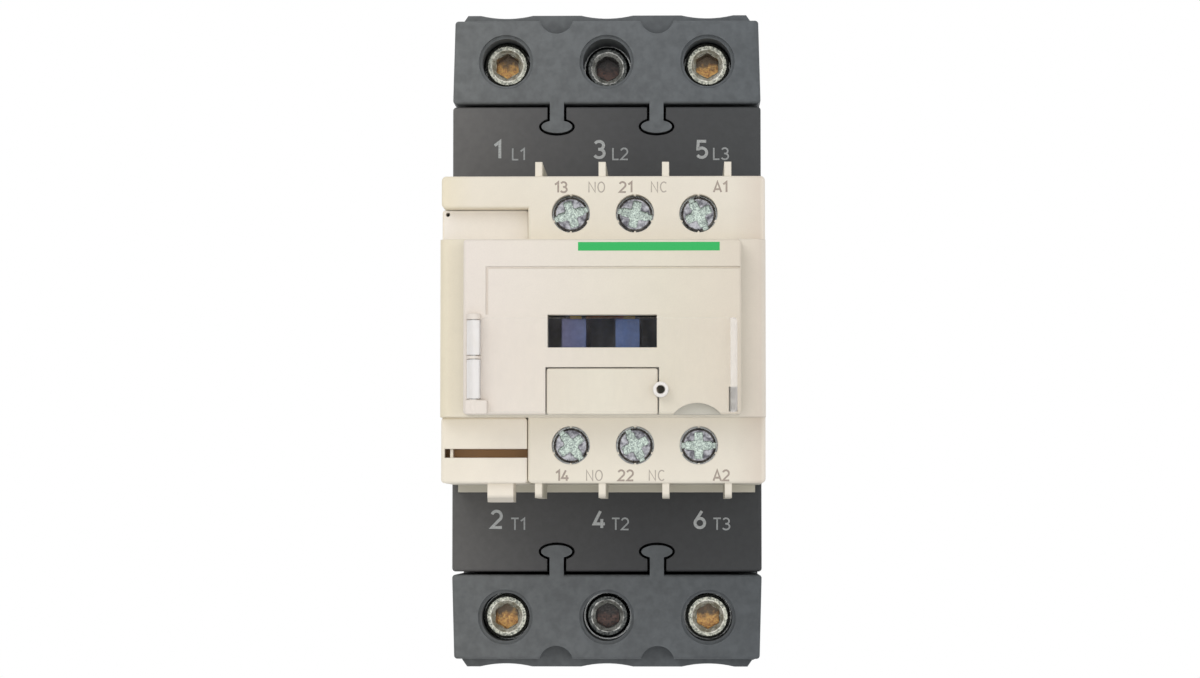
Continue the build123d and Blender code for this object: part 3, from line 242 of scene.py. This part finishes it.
def socket_screw(name, node, ring, rim, floor, socket_shade_colour):
    """Hex socket screw: knurled head ring, a bright rim that is painted highlight on the chamfer, and a
    socket gold below and darkened above as painted shade.
    """
    middle = (low(node) + high(node)) / 2
    top = low(node)[1]
    material, tree, shader = start_finish(name)
    where, axes = place_on_part(tree)
    off_x = maths(tree, "SUBTRACT", axes[0], float(middle[0]) * MM)
    off_z = maths(tree, "SUBTRACT", axes[2], float(middle[2]) * MM)
    out = maths(tree, "SQRT", maths(tree, "ADD", maths(tree, "MULTIPLY", off_x, off_x),
                                    maths(tree, "MULTIPLY", off_z, off_z)))
    grit = speckle(tree, where, 0.28, 3.0)
    lumps = speckle(tree, where, 1.1, 3.0)
    colour = blended(tree, ramp_over(tree, grit, 0.40, 0.60), ring[0], ring[1])
    wobble = maths(tree, "ADD", out, ramp_over(tree, lumps, 0.3, 0.7, -0.12 * MM, 0.12 * MM))
    # Painted highlight: a bright ring on the chamfer.
    bright = maths(tree, "MULTIPLY", ramp_over(tree, wobble, 2.98 * MM, 2.82 * MM),
                   ramp_over(tree, wobble, 2.12 * MM, 2.26 * MM))
    colour = blended(tree, bright, colour, blended(tree, ramp_over(tree, lumps, 0.4, 0.6), rim[0], rim[1]))
    inside = maths(tree, "MULTIPLY", ramp_over(tree, out, 2.34 * MM, 2.24 * MM),
                   ramp_over(tree, axes[1], (top + 0.7) * MM, (top + 1.2) * MM))
    # Painted shade: the upper part of the socket goes to the dark colour.
    tilt = maths(tree, "ADD", off_z, ramp_over(tree, lumps, 0.3, 0.7, -0.9 * MM, 0.9 * MM))
    gold = blended(tree, ramp_over(tree, grit, 0.36, 0.62), floor[0], floor[1])
    socket = blended(tree, ramp_over(tree, tilt, -0.5 * MM, 1.0 * MM), gold, socket_shade_colour)
    colour = blended(tree, inside, colour, socket)
    tree.links.new(colour, shader.inputs["Base Color"])
    painted_ring_and_socket = maths(tree, "ADD", bright, inside)
    tree.links.new(ramp_over(tree, painted_ring_and_socket, 0.0, 1.0, 0.9, 0.35), shader.inputs["Metallic"])
    tree.links.new(ramp_over(tree, grit, 0.3, 0.7, 0.20, 0.40), shader.inputs["Roughness"])
    bump = add(tree, "ShaderNodeBump", {"Strength": 0.6, "Distance": 0.02 * MM, "Height": grit,
                                        "Normal": edges_of(tree, 0.12)[0]})
    tree.links.new(bump.outputs[0], shader.inputs["Normal"])
    return material


def cross_screw(name, node, face, recess):
    """Plated cross-and-slot screw: smoky mottled face, paler greenish recess."""
    top = low(node)[1]
    material, tree, shader = start_finish(name)
    where, axes = place_on_part(tree)
    lumps = speckle(tree, where, 0.75, 4.0)
    grit = speckle(tree, where, 0.2, 3.0)
    colour = blended(tree, ramp_over(tree, lumps, 0.36, 0.64), face[0], face[1])
    pale = blended(tree, ramp_over(tree, grit, 0.35, 0.65), recess[0], recess[1])
    colour = blended(tree, ramp_over(tree, axes[1], (top + 0.35) * MM, (top + 0.8) * MM), colour, pale)
    tree.links.new(colour, shader.inputs["Base Color"])
    shader.inputs["Metallic"].default_value = 0.85
    tree.links.new(ramp_over(tree, lumps, 0.3, 0.7, 0.16, 0.36), shader.inputs["Roughness"])
    bump = add(tree, "ShaderNodeBump", {"Strength": 0.6, "Distance": 0.03 * MM, "Height": lumps,
                                        "Normal": edges_of(tree, 0.14)[0]})
    tree.links.new(bump.outputs[0], shader.inputs["Normal"])
    return material


def clear_sheet(name):
    """Clear flap: nearly open face on, whiter at its edges and along the hinge, with fine rubs."""
    material, tree, shader = start_finish(name)
    where, axes = place_on_part(tree)
    drawn = add(tree, "ShaderNodeMapping", {"Vector": where, "Scale": (1.0, 1.0, 0.25)}).outputs[0]
    rub = speckle(tree, drawn, 1.2, 4.0)
    facing = add(tree, "ShaderNodeLayerWeight", {0: 0.35}).outputs["Facing"]
    rim = maths(tree, "MULTIPLY", maths(tree, "POWER", facing, 2.0), 0.55)
    barrel = ramp_over(tree, axes[0], -20.2 * MM, -20.6 * MM, 0.0, 0.80)
    hook = ramp_over(tree, axes[0], 21.3 * MM, 21.6 * MM, 0.0, 0.30)
    haze = ramp_over(tree, rub, 0.35, 0.7, 0.004, 0.024)
    solid = maths(tree, "ADD", maths(tree, "ADD", rim, barrel), maths(tree, "ADD", hook, haze))
    tree.links.new(maths(tree, "MINIMUM", solid, 0.92), shader.inputs["Alpha"])
    tone = blended(tree, ramp_over(tree, rub, 0.3, 0.7), paint(250, 246, 242), paint(255, 253, 253))
    tree.links.new(tone, shader.inputs["Base Color"])
    tree.links.new(ramp_over(tree, rub, 0.3, 0.7, 0.06, 0.16), shader.inputs["Roughness"])
    shader.inputs["IOR"].default_value = 1.58
    return material


def print_ink(name, tone, faded):
    """Pad-printed ink, thinner in places."""
    material, tree, shader = start_finish(name)
    where, _axes = place_on_part(tree)
    thin = speckle(tree, where, 0.25, 3.0)
    tree.links.new(blended(tree, ramp_over(tree, thin, 0.35, 0.75), tone, faded), shader.inputs["Base Color"])
    tree.links.new(ramp_over(tree, thin, 0.3, 0.7, 0.45, 0.65), shader.inputs["Roughness"])
    bump = add(tree, "ShaderNodeBump", {"Strength": 0.3, "Distance": 0.003 * MM, "Height": thin})
    tree.links.new(bump.outputs[0], shader.inputs["Normal"])
    return material


# ---- finishes -------------------------------------------------------------------------------
# Lighter at the left and darker to the right as painted light from the upper left; lower paints shade on the
# bottom half.
charcoal = moulding("charcoal_body",
                    [(-27.5, paint(102, 101, 100)), (-12, paint(84, 84, 85)), (6, paint(66, 67, 69)),
                     (27.5, paint(63, 65, 67))],
                    lower=(5, -25, 0.78), cloud=0.06, mottle=0.05, mottle_mm=1.2,
                    rough=(0.50, 0.68), relief=0.008,
                    edge=paint(120, 122, 124), edge_share=0.5, specular=0.4)
base_black = moulding("charcoal_base", [(-27.5, paint(66, 66, 66)), (27.5, paint(58, 60, 63))],
                      cloud=0.06, mottle=0.05, rough=(0.52, 0.70), relief=0.008,
                      edge=paint(110, 112, 114), edge_share=0.45, specular=0.4)
# Darker to the right as painted light from the left; lower paints shade towards the bottom.
terminal_grey = moulding("terminal_block_grey",
                         [(-27.5, paint(106, 109, 110)), (0, paint(99, 103, 106)), (27.5, paint(90, 95, 99))],
                         lower=(10, -45, 0.84), cloud=0.06, cloud_mm=6.0, mottle=0.12, mottle_mm=1.5,
                         rough=(0.50, 0.66), relief=0.010,
                         edge=paint(142, 148, 152), edge_share=0.5, specular=0.4)
# The stops darken at 26.6 mm as painted shade beside the hood and lighten at 27.5 mm as a painted highlight
# on the outer edge; lower paints shade at the foot of the skirt, and the pocket shade greys the faces set
# back behind the terminals.
cream_housing = moulding("cream_housing",
                         [(-27.5, paint(243, 233, 208)), (-22, paint(242, 234, 218)),
                          (0, paint(241, 234, 219)), (22, paint(238, 231, 217)),
                          (26.6, paint(228, 217, 203)), (27.5, paint(245, 237, 224))],
                         cloud=0.018, mottle=0.008, edge=paint(248, 243, 232), edge_share=0.35,
                         lower=(-27.8, -28.5, 0.62),
                         pocket_shade=(FACE_TERMINALS + 1.0, FACE_TERMINALS + 9.0, paint(200, 195, 180)))
cream_recess = moulding("cream_recess", [(-27.5, paint(243, 234, 214)), (-27.2, paint(250, 244, 236)),
                                        (-12, paint(249, 243, 234))], cloud=0.02,
                        mottle=0.008, edge=paint(248, 243, 232), edge_share=0.35)
# lower paints shade at the foot of the tab, and the brown pocket shade is painted shade in the slot.
cream_blank = moulding("cream_blank",
                       [(-27.5, paint(246, 238, 222)), (-12, paint(245, 237, 224)),
                        (27.5, paint(236, 228, 214))],
                       cloud=0.022, mottle=0.008, edge=paint(248, 243, 232), edge_share=0.35,
                       lower=(-28.0, -28.6, 0.72),
                       pocket_shade=(FACE_TERMINALS + 0.8, FACE_TERMINALS + 4.0, paint(180, 138, 86), -21.9, -20.2))
# The pocket shade greys the finger recess and the other shallow recesses of the hood as painted shade.
cream_hood = moulding("cream_hood",
                      [(-23, paint(240, 231, 222)), (-8, paint(238, 230, 218)), (10, paint(232, 225, 208)),
                       (23, paint(228, 218, 202))],
                      cloud=0.018, mottle=0.006, rough=(0.34, 0.48), edge=paint(250, 246, 238),
                      edge_share=0.35,
                      pocket_shade=(FACE_HOOD + 0.5, FACE_HOOD + 1.4, paint(200, 197, 186)))
cream_label = moulding("cream_label",
                       [(-10, paint(233, 225, 210)), (0, paint(236, 230, 214)), (10, paint(231, 223, 207))],
                       cloud=0.018, mottle=0.006,
                       rough=(0.34, 0.48), edge=paint(248, 244, 236), edge_share=0.35)
carrier_blue = moulding("carrier_blue",
                        [(-7, paint(110, 112, 162)), (-3, paint(92, 108, 162)), (2, paint(66, 100, 166)),
                         (7, paint(76, 104, 164))],
                        cloud=0.08, cloud_mm=3.0, mottle=0.10, mottle_mm=0.7, rough=(0.35, 0.52),
                        edge=paint(120, 150, 214), edge_share=0.5)
natural_nylon = moulding("natural_nylon", [(-20, paint(214, 208, 192)), (20, paint(206, 200, 182))],
                         cloud=0.04, edge=paint(232, 228, 214))
clip_black = moulding("clip_black", [(-7, paint(52, 52, 54)), (7, paint(46, 47, 50))],
                      cloud=0.06, mottle=0.05, rough=(0.38, 0.55), edge=paint(104, 104, 108), edge_share=0.5)
black_rubber = moulding("black_rubber", [(-7, paint(48, 48, 48)), (7, paint(40, 40, 40))],
                        cloud=0.08, mottle=0.1, rough=(0.7, 0.85), specular=0.3)
cover_clear = clear_sheet("clear_flap")
frosted = moulding("frosted_polycarbonate", [(-27, paint(250, 246, 240)), (27, paint(246, 242, 238))],
                   cloud=0.02, rough=(0.18, 0.3))

zinc_plain = metal("zinc_plain", paint(200, 202, 200), paint(170, 172, 172), 1.6, (0.24, 0.40), 0.06)
core_sheets = metal("core_sheets", paint(150, 150, 152), paint(118, 118, 120), 3.0, (0.35, 0.5),
                    sheets=(0, 0.5))
spring_wire = metal("spring_wire", paint(190, 190, 192), paint(160, 160, 164), 0.6, (0.2, 0.32))
bare_copper = metal("bare_copper", paint(216, 140, 104), paint(186, 110, 78), 2.0, (0.25, 0.42), 0.08,
                    shaded=(40.6, 43.4))
rolled_brass = metal("rolled_brass", paint(216, 184, 112), paint(190, 158, 92), 2.0, (0.24, 0.4), 0.08)
silver_alloy = metal("silver_alloy", paint(226, 226, 222), paint(200, 200, 196), 0.8, (0.2, 0.34))
enamel_turns = metal("enamel_turns", paint(176, 92, 52), paint(146, 70, 38), 2.2, (0.22, 0.36),
                     sheets=(1, 0.45), relief=0.02)

NODE_FINISH = {
    "rear_base": base_black, "main_body": charcoal, "upper_terminal_block": terminal_grey,
    "lower_terminal_block": terminal_grey, "control_housing": cream_housing, "side_blank_upper": cream_recess,
    "side_blank_lower": cream_blank, "front_hood": cream_hood, "label_plate": cream_label,
    "clear_cover": cover_clear, "contact_carrier": carrier_blue, "coil_bobbin": natural_nylon,
    "din_clip": clip_black, "core_cushion": black_rubber, "fixed_core": core_sheets, "armature": core_sheets,
    "din_clip_spring": spring_wire, "return_springs": spring_wire, "contact_springs": spring_wire,
    "aux_springs": spring_wire, "fixed_contacts": bare_copper, "shading_rings": bare_copper,
    "coil_leads": bare_copper, "control_strips": rolled_brass, "fixed_tips": silver_alloy,
    "coil_winding": enamel_turns,
}
PREFIX_FINISH = (("pole_bridge", bare_copper), ("aux_bridge", rolled_brass))
for name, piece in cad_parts.items():
    finish = NODE_FINISH.get(name)
    for prefix, candidate in PREFIX_FINISH:
        if finish is None and name.startswith(prefix):
            finish = candidate
    if finish is None and name.startswith("power_screw"):
        # The second pair of colours is a painted highlight on the chamfer, and the last colour painted shade
        # in the socket.
        if name.endswith("_2"):
            finish = socket_screw(name + "_steel", name, (paint(84, 86, 84), paint(52, 54, 54)),
                                  (paint(244, 244, 238), paint(170, 170, 164)),
                                  (paint(96, 66, 54), paint(40, 32, 30)), paint(34, 30, 28))
        else:
            finish = socket_screw(name + "_steel", name, (paint(168, 168, 156), paint(104, 106, 100)),
                                  (paint(238, 236, 224), paint(176, 170, 150)),
                                  (paint(236, 188, 104), paint(160, 108, 62)), paint(92, 76, 56))
    if finish is None and name.startswith("control_screw"):
        finish = cross_screw(name + "_plate", name, (paint(150, 150, 154), paint(80, 79, 85)),
                             (paint(182, 194, 184), paint(108, 116, 114)))
    finish = finish or zinc_plain
    piece.data.materials.clear()
    piece.data.materials.append(finish)


# ---- new pieces -----------------------------------------------------------------------------
def piece_from(name, points_mm, faces, finish, body, slot_name, smooth=False):
    """A mesh from points in millimetres and faces, in place, riding on a body."""
    mesh = bpy.data.meshes.new(name)
    mesh.from_pydata((np.asarray(points_mm, float) * MM).tolist(), [], faces)
    mesh.validate()
    mesh.update()
    mesh.polygons.foreach_set("use_smooth", np.full(len(mesh.polygons), smooth))
    mesh.materials.append(finish)
    made = bpy.data.objects.new(name, mesh)
    bpy.context.scene.collection.objects.link(made)
    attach(made, body)
    return made


def slab(outline, y_front, y_back):
    """Points and faces of a flat outline in X and Z, taken back along Y. The outline runs anticlockwise
    seen from the front; front and back caps are one polygon each, the sides are quads."""
    flat = np.asarray(outline, float)
    count = len(flat)
    front = np.column_stack([flat[:, 0], np.full(count, y_front), flat[:, 1]])
    back = np.column_stack([flat[:, 0], np.full(count, y_back), flat[:, 1]])
    here = np.arange(count)
    following = (here + 1) % count
    sides = np.column_stack([here, here + count, following + count, following]).tolist()
    return np.vstack([front, back]), [here.tolist(), (here[::-1] + count).tolist()] + sides


def joined(parts):
    """Several points-and-faces pairs as one pair."""
    points, faces, start = [], [], 0
    for some_points, some_faces in parts:
        points.append(some_points)
        faces += [[index + start for index in face] for face in some_faces]
        start += len(some_points)
    return np.vstack(points), faces


def ribbon(line, width, y_front, y_back, closed=False):
    """A stroke of even width along a line in X and Z: each point moves out to both sides along the
    mean normal of its two runs, lengthened so that the width holds round the corner."""
    path = np.asarray(line, float)
    run = np.diff(np.vstack([path, path[:1]]) if closed else path, axis=0)
    run /= np.linalg.norm(run, axis=1, keepdims=True)
    before = np.roll(run, 1, axis=0) if closed else np.vstack([run[:1], run])
    after = run if closed else np.vstack([run, run[-1:]])
    side = before + after
    side /= np.maximum(np.linalg.norm(side, axis=1, keepdims=True), 1e-9)
    normal = np.column_stack([-side[:, 1], side[:, 0]])
    reach = np.minimum(1.0 / np.maximum((side * after).sum(1), 0.35), 2.2)[:, None] * width / 2
    left, right = path + normal * reach, path - normal * reach
    count = len(path)
    flat = np.vstack([right, left])
    front = np.column_stack([flat[:, 0], np.full(2 * count, y_front), flat[:, 1]])
    back = np.column_stack([flat[:, 0], np.full(2 * count, y_back), flat[:, 1]])
    here = np.arange(count if closed else count - 1)
    following = (here + 1) % count
    depth = 2 * count
    other, other_following = here + count, following + count
    faces = np.column_stack([here, following, other_following, other]).tolist()
    faces += (np.column_stack([other, other_following, following, here]) + depth).tolist()
    faces += np.column_stack([following, here, here + depth, following + depth]).tolist()
    faces += np.column_stack([other, other_following, other_following + depth, other + depth]).tolist()
    if not closed:
        last = count - 1
        faces += [[0, count, count + depth, depth], [last + count, last, last + depth, last + count + depth]]
    return np.vstack([front, back]), faces


def bow(centre_x, centre_z, radius_x, radius_z, start, stop, steps=14):
    """Points on an ellipse from one angle to another, in degrees."""
    angle = np.radians(np.linspace(start, stop, steps))
    return [(centre_x + radius_x * math.cos(a), centre_z + radius_z * math.sin(a)) for a in angle]


STROKES = {
    "1": [[(0.04, 0.74), (0.34, 0.97), (0.34, 0.0)]],
    "2": [bow(0.31, 0.70, 0.28, 0.28, 160, -38) + [(0.03, 0.03), (0.62, 0.03)]],
    "3": [bow(0.29, 0.74, 0.26, 0.24, 152, -88), bow(0.29, 0.27, 0.30, 0.25, 100, -152)],
    "4": [[(0.40, 0.98), (0.03, 0.24), (0.66, 0.24)], [(0.48, 0.52), (0.48, 0.0)]],
    "5": [[(0.56, 0.97), (0.10, 0.97), (0.07, 0.52)] + bow(0.30, 0.30, 0.29, 0.28, 128, -150)],
    "6": [bow(0.32, 0.29, 0.28, 0.27, 0, 345, 22), [(0.44, 0.98), (0.08, 0.42)]],
    "L": [[(0.04, 1.0), (0.04, 0.03), (0.52, 0.03)]],
    "T": [[(0.0, 0.97), (0.64, 0.97)], [(0.32, 0.97), (0.32, 0.0)]],
    "A": [[(0.0, 0.0), (0.35, 0.98), (0.70, 0.0)], [(0.13, 0.28), (0.57, 0.28)]],
    "N": [[(0.04, 0.0), (0.04, 0.98), (0.62, 0.02), (0.62, 1.0)]],
    "O": [bow(0.34, 0.50, 0.31, 0.47, 90, 435, 26)],
    "C": [bow(0.36, 0.50, 0.32, 0.47, 48, 312, 20)],
}
CLOSED = {"O": {0}, "6": {0}}
ADVANCE = {"1": 0.56, "T": 0.78, "L": 0.68, "A": 0.86, "N": 0.86, "O": 0.88, "C": 0.86}


def marking(name, text, x_mid, z_mid, tall, stroke, y_face, ink, body, slot_name):
    """Printed characters on a face, centred at x_mid and z_mid."""
    wide = [ADVANCE.get(c, 0.82) for c in text]
    pen = x_mid - tall * (sum(wide) - 0.2) / 2
    parts = []
    for character, step in zip(text, wide):
        for number, line in enumerate(STROKES[character]):
            path = [(pen + px * tall, z_mid + (pz - 0.5) * tall) for px, pz in line]
            parts.append(ribbon(path, stroke, y_face - 0.018 - 0.008 * number, y_face + 0.01,
                                number in CLOSED.get(character, set())))
        pen += step * tall
    points, faces = joined(parts)
    return piece_from(name, points, faces, ink, body, slot_name)


ink_grey = print_ink("ink_warm_grey", paint(160, 146, 136), paint(188, 176, 164))
ink_thin = print_ink("ink_light_grey", paint(176, 166, 156), paint(194, 185, 174))
ink_white = print_ink("ink_pale_grey", paint(188, 191, 191), paint(150, 153, 154))
ink_faint = print_ink("ink_faint_grey", paint(168, 171, 172), paint(138, 142, 144))
ink_green = print_ink("ink_green", paint(34, 184, 90), paint(48, 188, 102))

DIGIT_TALL = 3.05           # pole numbers
LETTER_TALL = 2.1           # L and T marks
LETTER_Z = 33.0             # their height above and below the middle
STRIPE = ((-4.05, 19.7), (12.75, 14.2))                 # X and Z of the green stripe

for text, x in (("1", -19.6), ("3", -1.3), ("5", 17.0)):
    marking("mark_line_" + text, text, x, 33.8, DIGIT_TALL, 0.52, FACE_DARK, ink_white, "root",
            "dark_plastic")
for text, x in (("2", -19.6), ("4", -1.4), ("6", 16.5)):
    marking("mark_load_" + text, text, x, -32.2, DIGIT_TALL, 0.52, FACE_DARK, ink_white, "root",
            "dark_plastic")
for number, x in enumerate((-15.8, 2.4, 20.4), 1):
    for row, letter, z in (("line", "L", LETTER_Z), ("load", "T", -LETTER_Z)):
        words = f"{letter}{number}"
        marking(f"mark_{row}_{words}", words, x, z, LETTER_TALL, 0.28, FACE_DARK, ink_faint, "root",
                "dark_plastic")
for words, z in ((("13", -7.2), ("NO", -1.1), ("21", 3.8), ("NC", 9.5), ("A1", 19.9)), 24.2), \
                ((("14", -7.0), ("NO", -1.5), ("22", 3.8), ("NC", 9.1), ("A2", 20.0)), -24.8):
    for text, x in words:
        thin = text in ("NO", "NC")
        row = "upper" if z > 0 else "lower"
        marking(f"mark_{row}_{text}", text, x, z, 1.8, 0.20 if thin else 0.32, FACE_TERMINALS,
                ink_thin if thin else ink_grey, "root", "pale_plastic")

(left, right), (bottom, top) = STRIPE
corners = [(left, bottom), (right, bottom), (right, top), (left, top)]
stripe = slab(corners, FACE_HOOD - 0.02, FACE_HOOD + 0.01)
piece_from("hood_stripe", *stripe, ink_green, "root", "pale_plastic")


def hole_ribs(x, z):
    """Four small crush ribs in the wall of a screw hole: triangles that point at the hole's centre."""
    parts = []
    for turn in (90, 205, 270, 335):
        a = math.radians(turn)
        out, along = np.array([math.cos(a), math.sin(a)]), np.array([-math.sin(a), math.cos(a)])
        middle = np.array([x, z])
        wall, tip = middle + out * (HOLE_R + 0.05), middle + out * (HOLE_R - 0.26)
        outline = [wall - along * 0.28, wall + along * 0.28, tip + along * 0.08, tip - along * 0.08]
        parts.append(slab(outline, FACE_TERMINALS + 0.05, FACE_TERMINALS + 1.6))
    return joined(parts)


for (side, number), middle in CONTROL_SCREWS.items():
    ribs = hole_ribs(middle[0], middle[2])
    piece_from(f"hole_ribs_{side}_{number}", *ribs, cream_housing, "root", "pale_plastic")


def collar(x, z, inner, outer, y_front, y_back, steps=48):
    """A ring about a line along Y: four circles joined by quads, with rounded front corners."""
    angle = np.linspace(0, 2 * math.pi, steps, endpoint=False)
    soft = min(0.18, (outer - inner) / 3)
    profile = [(inner, y_back), (inner, y_front + soft), (inner + soft * 0.3, y_front + soft * 0.3),
               (inner + soft, y_front), (outer - soft, y_front), (outer - soft * 0.3, y_front + soft * 0.3),
               (outer, y_front + soft), (outer, y_back)]
    rings = [np.column_stack([x + r * np.cos(angle), np.full(steps, y), z + r * np.sin(angle)])
             for r, y in profile]
    here = np.arange(steps)
    following = (here + 1) % steps
    faces = []
    for row in range(len(profile)):
        this, then = row * steps, ((row + 1) % len(profile)) * steps
        faces += np.column_stack([here + this, here + then, following + then, following + this]).tolist()
    return np.vstack(rings), faces


EYELET = (9.8, -10.6)
eyelet = collar(*EYELET, 0.72, 1.32, FACE_COVER + 0.05, FACE_HOOD - 0.05)
piece_from("cover_eyelet", *eyelet, frosted, "cover", "clear_plastic", smooth=True)

# ---- stage ----------------------------------------------------------------------------------
def white_for_eye(tree, plain_colour, plain_strength):
    """Emission that is pure white to the camera, to gloss and through clear pieces."""
    path = add(tree, "ShaderNodeLightPath").outputs
    seen = maths(tree, "MAXIMUM", maths(tree, "MAXIMUM", path["Is Camera Ray"], path["Is Glossy Ray"]),
                 path["Is Transmission Ray"])
    white = add(tree, "ShaderNodeBackground", {0: (1, 1, 1, 1), 1: 1.0})
    plain = add(tree, "ShaderNodeBackground", {0: plain_colour, 1: plain_strength})
    return add(tree, "ShaderNodeMixShader", {0: seen, 1: plain.outputs[0], 2: white.outputs[0]}).outputs[0]


world = bpy.data.worlds.new("studio")
world.use_nodes = True
bpy.context.scene.world = world
world_tree = world.node_tree
world_tree.links.new(white_for_eye(world_tree, (1.0, 0.99, 0.975, 1.0), 0.50),
                     world_tree.nodes["World Output"].inputs[0])

floor_mesh = bpy.data.meshes.new("floor")
floor_mesh.from_pydata([(-1.2, -1.0, -0.30), (1.2, -1.0, -0.30), (1.2, 1.0, -0.30), (-1.2, 1.0, -0.30)], [],
                       [(0, 1, 2, 3)])
floor = bpy.data.objects.new("floor", floor_mesh)
bpy.context.scene.collection.objects.link(floor)
floor_white, floor_tree, floor_shader = start_finish("floor_white")
floor_shader.inputs["Base Color"].default_value = (0.36, 0.36, 0.36, 1)
floor_shader.inputs["Roughness"].default_value = 0.9
floor_shader.inputs["Emission Color"].default_value = (1, 1, 1, 1)
to_eye = add(floor_tree, "ShaderNodeLightPath").outputs["Is Camera Ray"]
glow = ramp_over(floor_tree, to_eye, 0.0, 1.0, 0.46, 0.80)
floor_tree.links.new(glow, floor_shader.inputs["Emission Strength"])
floor_mesh.materials.append(floor_white)


def soft_box(name, place, aim, width, height, watts, colour):
    """An area lamp at a place, aimed at a point."""
    lamp = bpy.data.lights.new(name, "AREA")
    lamp.shape = "RECTANGLE"
    lamp.size, lamp.size_y, lamp.energy, lamp.color = width, height, watts, colour
    holder = bpy.data.objects.new(name, lamp)
    holder.location = place
    holder.rotation_euler = (Vector(aim) - Vector(place)).to_track_quat("-Z", "Y").to_euler()
    bpy.context.scene.collection.objects.link(holder)


soft_box("key_light", (-0.55, -1.05, 0.70), (0, -0.06, 0), 0.8, 0.8, 4.2, (1.0, 0.985, 0.965))
soft_box("fill_light", (0.80, -0.95, 0.10), (0, -0.06, 0), 0.9, 0.9, 1.6, (0.985, 0.99, 1.0))
soft_box("front_light", (0.05, -1.35, -0.10), (0, -0.06, 0), 0.7, 0.7, 1.6, (1.0, 1.0, 1.0))

eye = bpy.data.cameras.new("eye")
eye.sensor_width = 36.0
eye.lens = 106.25
eye_holder = bpy.data.objects.new("eye", eye)
eye_holder.location = (0.0127, -0.710, -0.0330)
aim = Vector((-0.0012, -0.080, -0.0001))
eye_holder.rotation_euler = (aim - eye_holder.location).to_track_quat("-Z", "Y").to_euler()
bpy.context.scene.collection.objects.link(eye_holder)
bpy.context.scene.camera = eye_holder
bpy.context.scene.view_settings.view_transform = "Standard"

bpy.context.view_layer.update()
